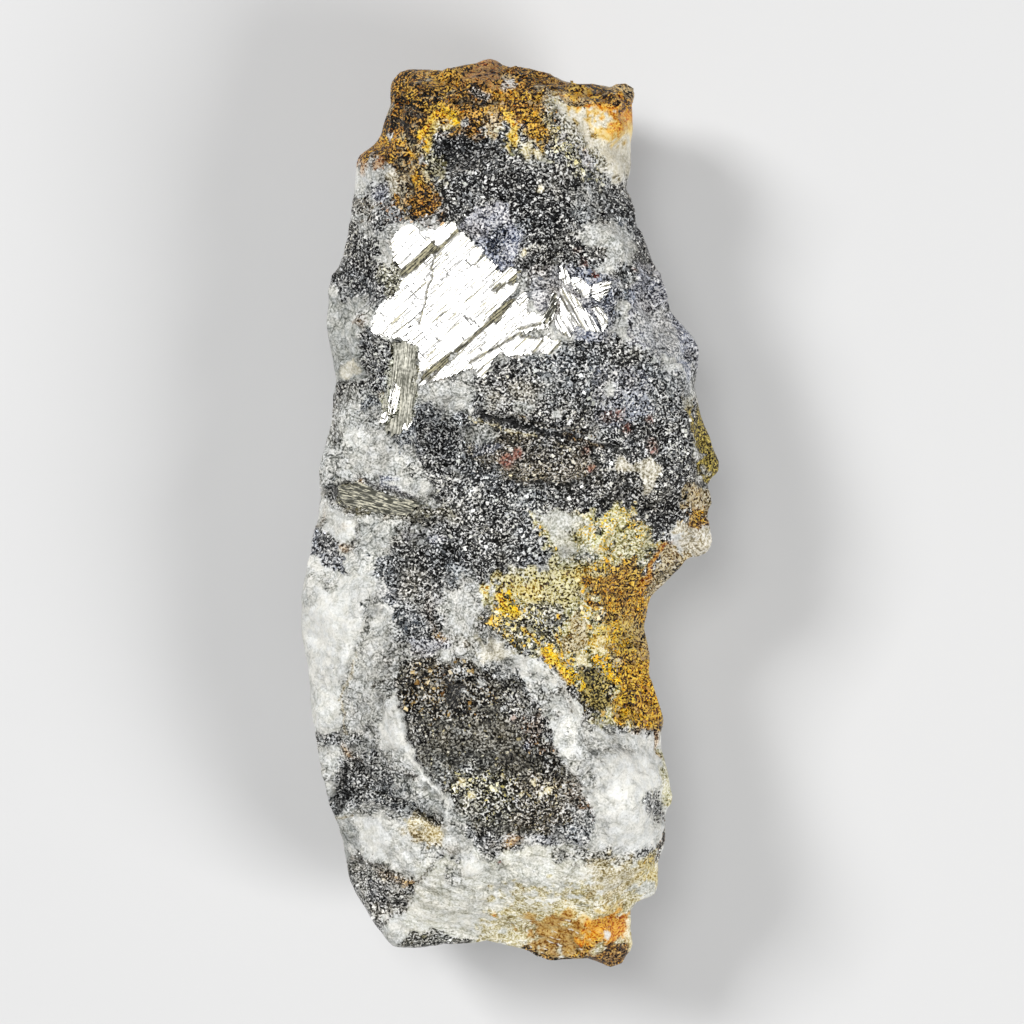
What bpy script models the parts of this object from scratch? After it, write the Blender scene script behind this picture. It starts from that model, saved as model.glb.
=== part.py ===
"""A hand specimen of native antimony grown through white and grey quartz.

One fused stone, lying on its back with the bright cleavage face up.
+X is across the stone, +Y runs along it, +Z points out of its face.
"""

import bpy
import bmesh
from collections import namedtuple
from math import cos, radians, sin, tan
from mathutils import Vector, noise
from mathutils.geometry import delaunay_2d_cdt

# ---------------------------------------------------------------- driving dimensions, in millimetres
MM = 0.001
WAIST_HEIGHT = 11.0       # where the stone is widest
WAIST_BAND = 2.0          # how much of the rim stands upright there
WAIST_SWING = 1.8         # how far the waist wanders up and down along the rim
RIM_ALLOWANCE = 0.25      # added all round, for what the shaping wears off the rim
GROUND_SINK = 0.7         # how far the back is let into the rest plane before it is cut flat

FINE_VOXEL = 0.4          # mesh pitch while the stone is being shaped
TRIANGLES = 8500          # of the finished stone
GRAIN_SEED = Vector((3.1, 7.7, 1.9))

# The silhouette seen from the face, clockwise from the top left corner.
TOP_EDGE = [
    (-10.8, 38.5), (-10.3, 39.2), (-9.6, 39.8), (-8.3, 39.8), (-7.0, 39.7), (-6.0, 39.4), (-3.9, 40.0),
    (-2.9, 40.3), (-1.9, 40.8), (-1.1, 40.5), (-0.6, 40.1), (1.2, 39.7), (3.6, 39.3), (4.7, 38.8),
    (5.9, 38.5), (7.3, 38.5), (8.9, 38.2), (9.8, 38.7), (10.9, 38.4), (11.3, 37.7),
]
RIGHT_EDGE = [
    (10.9, 36.8), (11.0, 34.4), (10.8, 33.1), (10.8, 30.9), (10.6, 30.0), (10.1, 29.5), (10.8, 28.1),
    (11.1, 27.0), (11.2, 25.7), (11.8, 25.0), (12.2, 23.9), (12.7, 22.3), (13.5, 21.5), (14.0, 19.1),
    (14.3, 17.9), (15.7, 16.5), (16.4, 15.8), (16.9, 14.8), (16.8, 12.8), (16.5, 11.5), (16.8, 10.3),
    (17.0, 8.9), (17.9, 6.7), (18.4, 5.4), (18.8, 4.3), (18.5, 3.6), (17.6, 2.8), (17.8, 1.9),
    (17.9, 0.9), (17.5, 0.1), (17.8, -1.4), (18.0, -2.5), (17.6, -3.4), (16.8, -3.8), (15.8, -4.0),
    (14.7, -5.2), (14.0, -6.0), (12.5, -7.4), (12.1, -9.4), (11.9, -10.2), (12.4, -12.2), (12.5, -13.2),
    (12.3, -14.2), (12.7, -15.1), (13.4, -17.4), (13.7, -18.5), (13.5, -19.7), (13.5, -21.0),
    (13.8, -22.0), (14.2, -23.7), (14.5, -25.2), (14.4, -25.9), (13.8, -26.6), (13.9, -27.9),
    (13.7, -29.8), (13.2, -30.9), (13.2, -33.4), (12.9, -34.1), (11.8, -34.4), (10.7, -34.9),
    (10.8, -37.3), (11.0, -38.8), (10.5, -39.5), (9.8, -40.6), (9.4, -40.8),
]
BOTTOM_EDGE = [
    (8.3, -40.4), (6.8, -39.8), (5.3, -39.9), (3.4, -39.9), (2.4, -39.5), (1.2, -38.9), (-0.4, -38.5),
    (-2.1, -38.1), (-3.6, -38.4), (-5.8, -38.5), (-8.0, -38.9), (-10.0, -38.9), (-10.8, -38.7),
]
LEFT_EDGE = [
    (-11.4, -37.7), (-12.5, -36.4), (-13.0, -35.4), (-13.9, -34.0), (-14.5, -32.6), (-14.7, -31.3),
    (-15.1, -29.0), (-15.4, -27.9), (-16.2, -26.1), (-16.4, -24.7), (-16.8, -23.0), (-17.2, -21.2),
    (-17.5, -19.5), (-17.9, -17.2), (-17.9, -15.6), (-18.2, -13.2), (-18.7, -11.1), (-18.8, -9.8),
    (-18.7, -8.3), (-18.8, -7.6), (-18.4, -5.6), (-17.8, -3.3), (-17.8, -1.9), (-17.1, -0.4),
    (-17.2, 0.4), (-17.0, 1.4), (-17.0, 3.0), (-17.0, 4.6), (-16.6, 6.0), (-16.0, 8.1), (-15.8, 10.9),
    (-15.6, 12.3), (-16.2, 15.1), (-16.4, 17.0), (-16.2, 20.2), (-15.9, 21.2), (-15.2, 22.3),
    (-14.6, 24.3), (-14.3, 27.0), (-14.0, 29.3), (-13.8, 31.5), (-13.4, 32.3), (-12.7, 32.6),
    (-11.6, 33.6), (-11.4, 34.7), (-10.7, 36.5), (-10.8, 37.6),
]
OUTLINE = TOP_EDGE + RIGHT_EDGE + BOTTOM_EDGE + LEFT_EDGE

# The ground of the face as ridge, step and hollow points: across, along, height.
FACE_POINTS = {
    "rusty crust": [
        (-9.3, 38.2, 17.6), (-6.0, 38.1, 18.8), (-2.0, 39.2, 17.2), (2.0, 38.0, 18.8), (6.0, 37.3, 18.6),
        (9.8, 37.3, 17.4), (-9.0, 36.2, 19.6), (-5.0, 36.2, 21.4), (-3.2, 37.4, 19.6), (-1.0, 36.2, 21.2),
        (3.0, 36.2, 21.0), (6.5, 36.4, 20.2), (9.6, 36.2, 18.9),
    ],
    "rusty lobe": [(-9.6, 33.4, 18.4), (-8.0, 31.0, 19.9), (-8.6, 27.8, 20.4), (-7.2, 34.5, 20.3)],
    "quartz block": [(5.2, 34.4, 20.6), (9.7, 34.0, 18.4), (9.6, 31.2, 17.8), (7.2, 32.2, 19.4)],
    "left quartz lump": [(-12.4, 31.0, 17.3), (-12.8, 27.4, 16.9), (-11.2, 29.0, 18.8)],
    "dark grainy band": [
        (-4.6, 33.0, 19.6), (-5.4, 29.8, 21.4), (0.2, 33.4, 20.6), (0.2, 30.4, 21.6), (4.2, 29.2, 21.6),
        (7.6, 28.8, 19.4), (9.4, 27.2, 18.0), (4.4, 25.6, 21.8), (9.0, 24.2, 19.8), (6.8, 26.2, 20.8),
    ],
    "lilac patch": [(-2.2, 27.4, 22.2), (-1.3, 24.7, 21.0), (0.6, 24.6, 22.0), (-4.2, 27.6, 21.6)],
    "second cleavage": [(5.0, 22.0, 22.3), (9.0, 20.6, 21.0), (7.8, 16.6, 21.6), (5.0, 16.8, 22.5)],
    "left grey quartz": [
        (-12.6, 24.2, 18.0), (-14.6, 20.6, 16.8), (-12.9, 18.2, 18.6), (-14.6, 16.0, 17.2),
        (-13.6, 13.4, 18.2), (-14.4, 11.9, 16.8), (-11.6, 13.4, 19.4),
    ],
    "lilac slope": [
        (11.0, 19.8, 20.2), (10.4, 17.5, 20.9), (10.9, 15.3, 21.2), (12.4, 14.2, 20.6), (15.0, 12.6, 18.6),
        (13.0, 20.4, 17.4), (15.4, 15.4, 16.8), (11.2, 23.4, 18.0),
    ],
    "right rim step": [
        (15.3, 9.6, 18.9), (15.7, 6.4, 18.9), (15.9, 3.4, 18.7), (16.2, 9.4, 14.0), (16.9, 6.0, 13.4),
        (17.2, 4.0, 13.2), (16.2, 1.4, 16.8),
    ],
    "pale grainy quartz": [
        (-14.8, 8.6, 17.4), (-12.2, 9.0, 19.6), (-9.8, 6.4, 20.2), (-12.6, 4.8, 19.2), (-8.4, 3.4, 20.4),
        (-15.8, 4.6, 16.8),
    ],
    "olive strip": [(-10.2, 13.4, 20.6), (-10.6, 9.2, 20.6)],
    "grey lump": [(-7.6, 10.2, 21.8), (-5.0, 11.2, 23.0), (-3.8, 9.6, 22.8)],
    "black hollow": [(-7.6, 8.0, 20.2), (-6.4, 6.6, 19.4), (-4.6, 5.8, 19.9), (-6.2, 3.6, 20.6)],
    "crease, high side": [(-1.8, 9.4, 22.9), (2.0, 8.6, 23.2), (6.0, 7.5, 22.9), (10.2, 6.2, 21.9)],
    "crease, low side": [(-2.4, 8.0, 21.2), (1.8, 7.3, 21.6), (5.8, 6.2, 21.7), (9.8, 5.1, 21.2)],
    "brown lens": [
        (-0.8, 5.6, 22.4), (3.0, 4.9, 23.1), (6.6, 4.4, 22.7), (-1.8, 3.5, 21.8), (2.2, 3.1, 22.5),
        (5.4, 3.2, 22.4), (-1.4, 2.2, 20.9), (2.2, 1.9, 21.0), (5.6, 2.0, 21.1), (8.4, 3.0, 21.1),
    ],
    "right grainy ground": [
        (3.4, 13.0, 22.4), (8.6, 12.0, 22.0), (12.2, 10.6, 20.8), (13.2, 6.8, 20.2), (11.8, 4.2, 21.6),
        (10.8, 1.6, 20.4), (14.2, 1.0, 19.2),
    ],
    "olive blade": [
        (-14.2, 2.6, 18.4), (-11.2, 1.4, 20.2), (-8.0, 0.4, 21.2), (-5.6, 0.2, 21.4), (-14.2, 0.2, 17.4),
        (-10.4, -0.6, 19.0), (-6.8, -1.4, 20.2),
    ],
    "speckled middle": [(-2.4, -0.4, 20.9), (1.8, -1.6, 21.4), (5.4, 0.0, 21.2), (-3.2, -3.8, 20.8)],
    "left shoulder": [
        (-15.0, -1.4, 17.4), (-16.0, -4.2, 16.2), (-12.2, -2.2, 18.8), (-8.2, -4.4, 20.3),
        (-10.8, -6.2, 19.2), (-8.4, -10.2, 20.0),
    ],
    "white quartz flank": [
        (-12.8, -6.2, 19.4), (-13.5, -9.6, 19.0), (-14.3, -12.6, 18.2), (-15.3, -16.4, 17.0),
        (-15.2, -19.2, 16.4), (-16.0, -8.6, 17.4), (-16.6, -13.2, 16.2),
    ],
    "grey ledges": [
        (-12.2, -10.0, 19.0), (-12.4, -13.6, 18.6), (-11.2, -15.4, 20.2), (-13.2, -17.6, 17.4),
        (-13.4, -20.6, 17.2), (-12.0, -19.4, 18.4),
    ],
    "edge of the dark lens": [(-10.2, -16.6, 21.3), (-9.5, -18.8, 21.5), (-8.9, -21.4, 21.3)],
    "dark lens": [
        (-9.4, -14.4, 20.9), (-6.0, -13.4, 21.3), (-1.0, -14.8, 22.2), (2.2, -17.2, 22.5),
        (2.8, -20.8, 22.6), (-4.2, -20.4, 21.7), (0.0, -24.4, 21.9), (5.2, -24.2, 22.4),
        (7.2, -27.4, 21.7), (2.0, -28.8, 21.2), (-3.0, -28.4, 21.0), (-5.6, -25.2, 20.9),
    ],
    "pale shoulder": [(-4.6, -6.6, 21.4), (-3.0, -9.8, 22.0), (-0.6, -12.6, 22.4), (-5.8, -11.4, 20.9)],
    "gold ground": [
        (1.2, -8.0, 22.0), (3.8, -12.0, 22.0), (3.2, -4.4, 21.8), (7.2, -2.4, 21.4), (6.6, -8.4, 20.9),
        (9.4, -5.6, 19.4), (9.6, -10.2, 18.6), (8.4, -14.2, 19.8), (11.0, -12.0, 16.8), (10.9, -7.2, 16.8),
        (11.8, -16.6, 17.0), (9.8, -18.4, 19.4), (6.2, -15.4, 21.4), (10.6, -1.2, 20.0),
    ],
    "corner shelf": [
        (13.6, -1.4, 18.0), (16.2, -1.4, 16.6), (13.2, -4.2, 17.2), (14.9, -3.2, 15.4), (16.6, -2.6, 15.0),
        (12.2, -6.2, 16.2),
    ],
    "white quartz": [
        (4.8, -17.4, 22.7), (7.0, -20.2, 22.8), (9.6, -22.6, 22.4), (11.8, -24.2, 20.6),
        (11.4, -20.4, 20.2), (9.0, -27.0, 21.7), (11.8, -28.6, 19.4), (11.6, -31.2, 18.2),
        (13.2, -24.8, 15.6), (12.8, -22.0, 17.0),
    ],
    "slanting groove": [
        (-11.8, -22.8, 19.2), (-8.0, -24.6, 20.4), (-13.2, -24.6, 17.4), (-10.2, -26.2, 18.4),
        (-7.2, -27.6, 19.3), (-12.2, -27.4, 18.6), (-8.8, -28.8, 20.1),
    ],
    "lower left rim": [
        (-15.4, -22.2, 16.2), (-15.0, -25.2, 14.6), (-14.0, -28.2, 16.4), (-13.2, -31.0, 16.4),
        (-12.2, -33.6, 16.2), (-11.0, -36.4, 15.2),
    ],
    "foot": [
        (-6.2, -30.2, 20.4), (-2.8, -31.6, 21.0), (1.0, -31.6, 20.4), (5.0, -31.8, 20.2),
        (8.8, -31.6, 19.6), (-9.2, -34.2, 17.4), (-6.0, -34.2, 18.4), (-1.0, -34.8, 18.2),
        (4.0, -34.8, 17.8), (8.2, -34.6, 17.4), (-5.0, -37.0, 15.4), (0.2, -37.0, 15.4),
        (4.0, -38.2, 14.6), (8.6, -37.6, 15.8), (9.2, -39.4, 13.4), (11.4, -33.2, 16.2),
    ],
}

# The bright antimony is one flat cleavage face, tipped a few degrees off the rest plane.
CLEAVAGE_MIDDLE = (-4.0, 19.0, 22.2)
CLEAVAGE_TIP_ACROSS = radians(4.5)     # falls towards the left
CLEAVAGE_TIP_ALONG = radians(-5.0)     # falls towards the top
CLEAVAGE_CORNERS = [
    (-12.2, 17.2), (-10.2, 24.6), (-7.4, 25.8), (-4.8, 26.2), (-0.8, 21.6), (1.4, 19.4), (3.4, 17.2),
    (4.4, 15.2), (-1.4, 13.8), (-8.2, 11.8), (-8.6, 14.8), (-4.0, 19.0),
]

# The back: ground that lies on the rest plane, and scoops that stay clear of it.
BACK_GROUND = [
    (-7.0, 30.0), (2.0, 31.5), (6.5, 29.0), (8.0, 21.0), (11.0, 14.0), (11.5, 6.0), (8.0, -2.0),
    (6.0, -9.0), (8.0, -17.0), (9.5, -25.0), (5.0, -31.0), (-4.0, -31.0), (-9.0, -27.0), (-11.0, -19.0),
    (-12.0, -10.0), (-10.5, 0.0), (-11.0, 8.0), (-10.0, 18.0), (-8.5, 25.0), (-4.0, 15.0), (4.0, 16.0),
    (-5.0, 3.0), (-3.0, -13.0), (3.0, -13.0), (-3.5, -26.0), (4.0, -26.5),
]
BACK_SCOOPS = [
    (-2.0, 24.0, 1.6), (2.5, 8.0, 1.8), (-6.0, -5.0, 1.2), (1.0, -20.0, 1.6), (2.0, 36.0, 4.0),
    (-6.0, 35.0, 4.6), (13.5, 7.0, 3.4), (14.0, 1.0, 4.2), (-14.0, -8.0, 2.6), (-13.0, -24.0, 3.4),
    (-2.0, -35.5, 3.6), (6.5, -36.0, 5.0),
]

Ring = namedtuple("Ring", "height height_swing inset inset_swing chip_length worn seed")

# The rim from back to face: each ring's height, its inset from the outline, how both swing from
# chip to chip, the length of one chip, and how much of the outline's small detail is worn off.
RIM_RINGS = [
    Ring(3.0, 1.4, 1.3, 0.6, 8.0, 1.0, seed=3),
    Ring(6.4, 1.4, 0.7, 0.5, 9.0, 0.8, seed=7),
    Ring(WAIST_HEIGHT - WAIST_BAND / 2, WAIST_SWING, 0.0, 0.0, 11.0, 0.0, seed=11),
    Ring(WAIST_HEIGHT + WAIST_BAND / 2, WAIST_SWING, 0.0, 0.0, 11.0, 0.0, seed=11),
    Ring(15.0, 1.0, 0.8, 0.4, 6.0, 0.5, seed=14),
]

# The big breaks that undercut the rim and round the back: a point on the break, the way it
# faces in plan, and how far it leans under the stone.
BREAKS = [
    ((11.3, 37.7, 9.0), radians(13.7), radians(26)),
    ((18.8, 4.3, 8.0), radians(2.0), radians(43)),
    ((14.5, -25.2, 8.0), radians(-8.3), radians(24)),
    ((13.2, -33.6, 8.0), radians(-24.0), radians(37)),
    ((9.4, -40.8, 8.0), radians(-95.9), radians(42)),
    ((-14.6, -32.0, 7.8), radians(198.4), radians(30)),
    ((-18.8, -9.8, 8.0), radians(183.0), radians(38)),
    ((-16.4, 17.0, 8.0), radians(176.0), radians(20)),
    ((-13.8, 31.5, 8.0), radians(160.0), radians(39)),
    ((-1.9, 40.8, 8.2), radians(88.0), radians(37)),
    ((10.5, 28.0, 4.6), radians(40.0), radians(52)),
    ((-11.0, 27.0, 4.2), radians(143.0), radians(57)),
    ((-12.0, -24.0, 4.4), radians(217.0), radians(54)),
    ((9.5, -29.0, 4.4), radians(-52.0), radians(58)),
    ((-11.5, 6.0, 2.4), radians(171.0), radians(66)),
    ((12.0, -6.0, 3.0), radians(4.0), radians(62)),
    ((0.0, 33.0, 3.6), radians(96.0), radians(64)),
    ((0.0, -32.5, 3.4), radians(-82.0), radians(66)),
]


def chip_value(distance, chip_length, seed):
    """A value from -1 to 1 that runs straight from one chip's edge to the next."""
    chip = int(distance // chip_length)
    part_way = distance / chip_length - chip
    here, there = (noise.cell(Vector((chip + step + 0.5, seed + 0.5, 0.5))) * 2.0 - 1.0 for step in (0, 1))
    return here + (there - here) * part_way


def rim_points(ring):
    """The corners of one ring: the outline, moved inwards and up or down chip by chip."""
    reach = 3
    count = len(OUTLINE)
    corners = [Vector(point) for point in OUTLINE]
    points = []
    walked = 0.0
    for i, corner in enumerate(corners):
        neighbours = [corners[(i + step) % count] for step in range(-reach, reach + 1)]
        run = neighbours[-1] - neighbours[0]
        inward = Vector((run.y, -run.x)).normalized()
        smoothed = sum(neighbours, Vector((0.0, 0.0))) / len(neighbours)
        walked += (corner - corners[i - 1]).length
        step_in = ring.inset + ring.inset_swing * chip_value(walked, ring.chip_length, ring.seed)
        level = ring.height + ring.height_swing * chip_value(walked, ring.chip_length, -ring.seed)
        place = corner.lerp(smoothed, ring.worn) + inward * (step_in - RIM_ALLOWANCE)
        points.append((place.x, place.y, level))
    return points


def cleavage_point(x, y):
    middle_x, middle_y, middle_z = CLEAVAGE_MIDDLE
    rise = (x - middle_x) * tan(CLEAVAGE_TIP_ACROSS) + (y - middle_y) * tan(CLEAVAGE_TIP_ALONG)
    return (x, y, middle_z + rise)


def add_ring(bm, points):
    return [bm.verts.new(Vector(point) * MM) for point in points]


def add_sheet(bm, rim_verts, points, face_up):
    """Closes a rim with the triangles between it and the points inside it."""
    verts = rim_verts + [bm.verts.new(Vector(point) * MM) for point in points]
    flat = [Vector((vert.co.x, vert.co.y)) / MM for vert in verts]
    rim_edges = [(i, (i + 1) % len(rim_verts)) for i in range(len(rim_verts))]
    inside_only = 1
    same_place = 1e-4
    _, _, triangles, sources, _, _ = delaunay_2d_cdt(flat, rim_edges, [], inside_only, same_place)
    for triangle in triangles:
        corners = [verts[sources[i][0]] for i in triangle]
        if not face_up:
            corners.reverse()
        bm.faces.new(corners)


def join_rings(bm, lower, upper):
    """A band of faces between two rings of the same count, which run clockwise seen from above."""
    count = len(lower)
    for i in range(count):
        following = (i + 1) % count
        bm.faces.new((lower[i], upper[i], upper[following], lower[following]))


def coarse_stone():
    """The stone as flat breaks: rings for the rim, a sheet for the back and one for the face."""
    face_points = [point for group in FACE_POINTS.values() for point in group]
    face_points += [cleavage_point(x, y) for x, y in CLEAVAGE_CORNERS]
    back_points = [(x, y, -GROUND_SINK) for x, y in BACK_GROUND] + BACK_SCOOPS

    bm = bmesh.new()
    rings = [add_ring(bm, rim_points(ring)) for ring in RIM_RINGS]
    for lower, upper in zip(rings, rings[1:]):
        join_rings(bm, lower, upper)
    add_sheet(bm, rings[0], back_points, face_up=False)
    add_sheet(bm, rings[-1], face_points, face_up=True)
    bmesh.ops.recalc_face_normals(bm, faces=bm.faces)
    mesh = bpy.data.meshes.new("antimony_quartz_stone")
    bm.to_mesh(mesh)
    bm.free()
    return mesh


def apply_modifier(stone, kind, **settings):
    """Adds one modifier and takes its result as the stone's mesh."""
    modifier = stone.modifiers.new(kind.title(), kind)
    for name, value in settings.items():
        setattr(modifier, name, value)
    bpy.context.view_layer.update()
    evaluated = stone.evaluated_get(bpy.context.evaluated_depsgraph_get())
    shaped = bpy.data.meshes.new_from_object(evaluated)
    stone.modifiers.clear()
    stone.data = shaped


def break_away(mesh):
    """Takes off what lies outside each big break and closes the cut."""
    bm = bmesh.new()
    bm.from_mesh(mesh)
    for point, facing, lean in BREAKS:
        outward = Vector((cos(facing) * cos(lean), sin(facing) * cos(lean), -sin(lean)))
        everything = bm.verts[:] + bm.edges[:] + bm.faces[:]
        bmesh.ops.bisect_plane(bm, geom=everything, plane_co=Vector(point) * MM, plane_no=outward,
                               dist=1e-7, clear_outer=True)
        open_edges = [edge for edge in bm.edges if edge.is_boundary]
        bmesh.ops.holes_fill(bm, edges=open_edges, sides=0)
    bm.to_mesh(mesh)
    bm.free()


def roughen(mesh):
    """Broken-stone unevenness along the surface's own direction, slight where the rim is upright."""
    broad_size = 8.0
    broad_depth = 0.55
    narrow_size = 2.4
    narrow_depth = 0.25
    rim_share = 0.25
    face_gain = 0.75
    back_gain = 1.6
    normals = [vert.normal.copy() for vert in mesh.vertices]
    for vert, normal in zip(mesh.vertices, normals):
        gain = face_gain if normal.z > 0.0 else back_gain
        share = rim_share + gain * abs(normal.z)
        place = vert.co / MM + GRAIN_SEED
        swell = broad_depth * noise.noise(place / broad_size)
        swell += narrow_depth * noise.noise(place / narrow_size)
        vert.co += normal * share * swell * MM


def cut_flat(mesh):
    """What lies under the rest plane, or a hair above it, comes level, as a face to lie on."""
    hair = 0.02 * MM
    for vert in mesh.vertices:
        if vert.co.z < hair:
            vert.co.z = 0.0


def centre(mesh):
    """Puts the middle of the footprint over the origin."""
    xs = [vert.co.x for vert in mesh.vertices]
    ys = [vert.co.y for vert in mesh.vertices]
    middle = Vector(((min(xs) + max(xs)) / 2, (min(ys) + max(ys)) / 2, 0.0))
    for vert in mesh.vertices:
        vert.co -= middle


def stone_material():
    material = bpy.data.materials.new("grey quartz and antimony")
    material.use_nodes = True
    shader = material.node_tree.nodes["Principled BSDF"]
    shader.inputs["Base Color"].default_value = (0.42, 0.42, 0.41, 1.0)
    shader.inputs["Roughness"].default_value = 0.5
    shader.inputs["Metallic"].default_value = 0.0
    return material


def build():
    for leftover in list(bpy.data.objects):
        bpy.data.objects.remove(leftover, do_unlink=True)

    stone = bpy.data.objects.new("antimony_quartz_stone", coarse_stone())
    bpy.context.scene.collection.objects.link(stone)
    apply_modifier(stone, "REMESH", mode="VOXEL", voxel_size=FINE_VOXEL * MM)
    break_away(stone.data)
    apply_modifier(stone, "REMESH", mode="VOXEL", voxel_size=FINE_VOXEL * MM)
    roughen(stone.data)
    cut_flat(stone.data)
    triangles_now = sum(len(face.vertices) - 2 for face in stone.data.polygons)
    apply_modifier(stone, "DECIMATE", ratio=TRIANGLES / triangles_now)
    cut_flat(stone.data)
    centre(stone.data)
    stone.data.shade_smooth()
    stone.data.materials.append(stone_material())


build()
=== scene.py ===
"""Native antimony in quartz: one fused stone lying on its back, with its bright cleavage face up."""
from collections import namedtuple
from itertools import product
import bpy
import bmesh
import numpy as np
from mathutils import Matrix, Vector


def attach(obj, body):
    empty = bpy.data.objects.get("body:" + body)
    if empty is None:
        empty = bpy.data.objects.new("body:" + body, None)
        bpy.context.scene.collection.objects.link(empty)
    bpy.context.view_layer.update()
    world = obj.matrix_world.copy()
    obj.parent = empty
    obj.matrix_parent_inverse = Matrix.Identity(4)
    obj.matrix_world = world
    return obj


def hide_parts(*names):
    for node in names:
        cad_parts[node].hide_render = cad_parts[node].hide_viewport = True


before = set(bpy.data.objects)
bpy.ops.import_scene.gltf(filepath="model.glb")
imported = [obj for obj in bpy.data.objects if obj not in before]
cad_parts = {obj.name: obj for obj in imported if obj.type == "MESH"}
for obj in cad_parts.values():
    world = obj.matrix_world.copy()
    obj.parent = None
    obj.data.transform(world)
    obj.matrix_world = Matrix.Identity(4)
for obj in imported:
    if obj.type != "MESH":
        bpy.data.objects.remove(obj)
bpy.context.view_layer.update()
MM = 0.001

# ------------------------------------------------------------------ numbers of the stone, in mm
STONE_PITCH = 0.47        # mesh pitch of the whole stone; its face gets half of it
SLAB_PITCH = 0.105        # mesh pitch of the bright cleavage slabs
SLAB_RISE = 0.12          # how far a slab stands over the stone, which lies as far below its plane
SLAB_DEPTH = 1.0          # how far a slab reaches down into the stone
GRAIN_PITCH = 0.62        # about how far apart the standing grains are
GRAIN_HALF = 0.10         # half of the smallest grain
GRAIN_MORE = 0.13         # what the largest grain has more
GRAIN_SUNK = 0.25         # share of its half size that a grain is sunk by
FACE_FROM_Z = 9.0         # the lowest height of the face
FACE_FULL_Z = 13.0        # the height from which its drawing is at full strength
FACE_LEAN = 0.40          # least upward share of the direction of a finely meshed face
WAIST_HEIGHT = 11.0       # where the stone is widest
SEEN_FROM = 395.0         # the height from which the drawn outlines are seen
SEEN_WIDTH = 92.16        # how much is seen from there, at the height of the waist
SEEN_MIDDLE = 0.135       # where the middle of the view is, along x and along y
FOOT_SLANT = -22.0        # the way the streaks of its foot run, in degrees
EDGE_FADE = 0.22          # over how much a patch of softness 1 fades, either side of its edge
STEEP_FADE = 0.40         # how much more where the stone is steep

# The stone's widest outline, clockwise from the top left corner.
OUTLINE = [
    (-10.8, 38.5), (-10.3, 39.2), (-9.6, 39.8), (-8.3, 39.8), (-7, 39.7), (-6, 39.4), (-3.9, 40),
    (-2.9, 40.3), (-1.9, 40.8), (-1.1, 40.5), (-0.6, 40.1), (1.2, 39.7), (3.6, 39.3), (4.7, 38.8),
    (5.9, 38.5), (7.3, 38.5), (8.9, 38.2), (9.8, 38.7), (10.9, 38.4), (11.3, 37.7), (10.9, 36.8), (11, 34.4),
    (10.8, 33.1), (10.8, 30.9), (10.6, 30), (10.1, 29.5), (10.8, 28.1), (11.1, 27), (11.2, 25.7), (11.8, 25),
    (12.2, 23.9), (12.7, 22.3), (13.5, 21.5), (14, 19.1), (14.3, 17.9), (15.7, 16.5), (16.4, 15.8),
    (16.9, 14.8), (16.8, 12.8), (16.5, 11.5), (16.8, 10.3), (17, 8.9), (17.9, 6.7), (18.4, 5.4), (18.8, 4.3),
    (18.5, 3.6), (17.6, 2.8), (17.8, 1.9), (17.9, 0.9), (17.5, 0.1), (17.8, -1.4), (18, -2.5), (17.6, -3.4),
    (16.8, -3.8), (15.8, -4), (14.7, -5.2), (14, -6), (12.5, -7.4), (12.1, -9.4), (11.9, -10.2),
    (12.4, -12.2), (12.5, -13.2), (12.3, -14.2), (12.7, -15.1), (13.4, -17.4), (13.7, -18.5), (13.5, -19.7),
    (13.5, -21), (13.8, -22), (14.2, -23.7), (14.5, -25.2), (14.4, -25.9), (13.8, -26.6), (13.9, -27.9),
    (13.7, -29.8), (13.2, -30.9), (13.2, -33.4), (12.9, -34.1), (11.8, -34.4), (10.7, -34.9), (10.8, -37.3),
    (11, -38.8), (10.5, -39.5), (9.8, -40.6), (9.4, -40.8), (8.3, -40.4), (6.8, -39.8), (5.3, -39.9),
    (3.4, -39.9), (2.4, -39.5), (1.2, -38.9), (-0.4, -38.5), (-2.1, -38.1), (-3.6, -38.4), (-5.8, -38.5),
    (-8, -38.9), (-10, -38.9), (-10.8, -38.7), (-11.4, -37.7), (-12.5, -36.4), (-13, -35.4), (-13.9, -34),
    (-14.5, -32.6), (-14.7, -31.3), (-15.1, -29), (-15.4, -27.9), (-16.2, -26.1), (-16.4, -24.7),
    (-16.8, -23), (-17.2, -21.2), (-17.5, -19.5), (-17.9, -17.2), (-17.9, -15.6), (-18.2, -13.2),
    (-18.7, -11.1), (-18.8, -9.8), (-18.7, -8.3), (-18.8, -7.6), (-18.4, -5.6), (-17.8, -3.3), (-17.8, -1.9),
    (-17.1, -0.4), (-17.2, 0.4), (-17, 1.4), (-17, 3), (-17, 4.6), (-16.6, 6), (-16, 8.1), (-15.8, 10.9),
    (-15.6, 12.3), (-16.2, 15.1), (-16.4, 17), (-16.2, 20.2), (-15.9, 21.2), (-15.2, 22.3), (-14.6, 24.3),
    (-14.3, 27), (-14, 29.3), (-13.8, 31.5), (-13.4, 32.3), (-12.7, 32.6), (-11.6, 33.6), (-11.4, 34.7),
    (-10.7, 36.5), (-10.8, 37.6),
]

# ------------------------------------------------------------------ fixed random patterns
# A turn in space, so that no pattern follows the axes of the stone.
TURNED = np.array([(0.80, 0.36, -0.48), (-0.60, 0.48, -0.64), (0.00, 0.80, 0.60)])
# Large numbers that mix the three of a cell, its seed and their own bits, cut to 32 bits.
CELL_MIX = (73856093, 19349663, 83492791)
SEED_MIX = 668265263
BIT_MIXES = (2246822519, 3266489917)
ALL_BITS = 0xFFFFFFFF
OCTAVE_SHIFT = 7.3        # moves each finer layer of clouds, so that they don't line up
OCTAVE_SHARE = 0.55       # the strength of each layer, as a share of the one before


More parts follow.
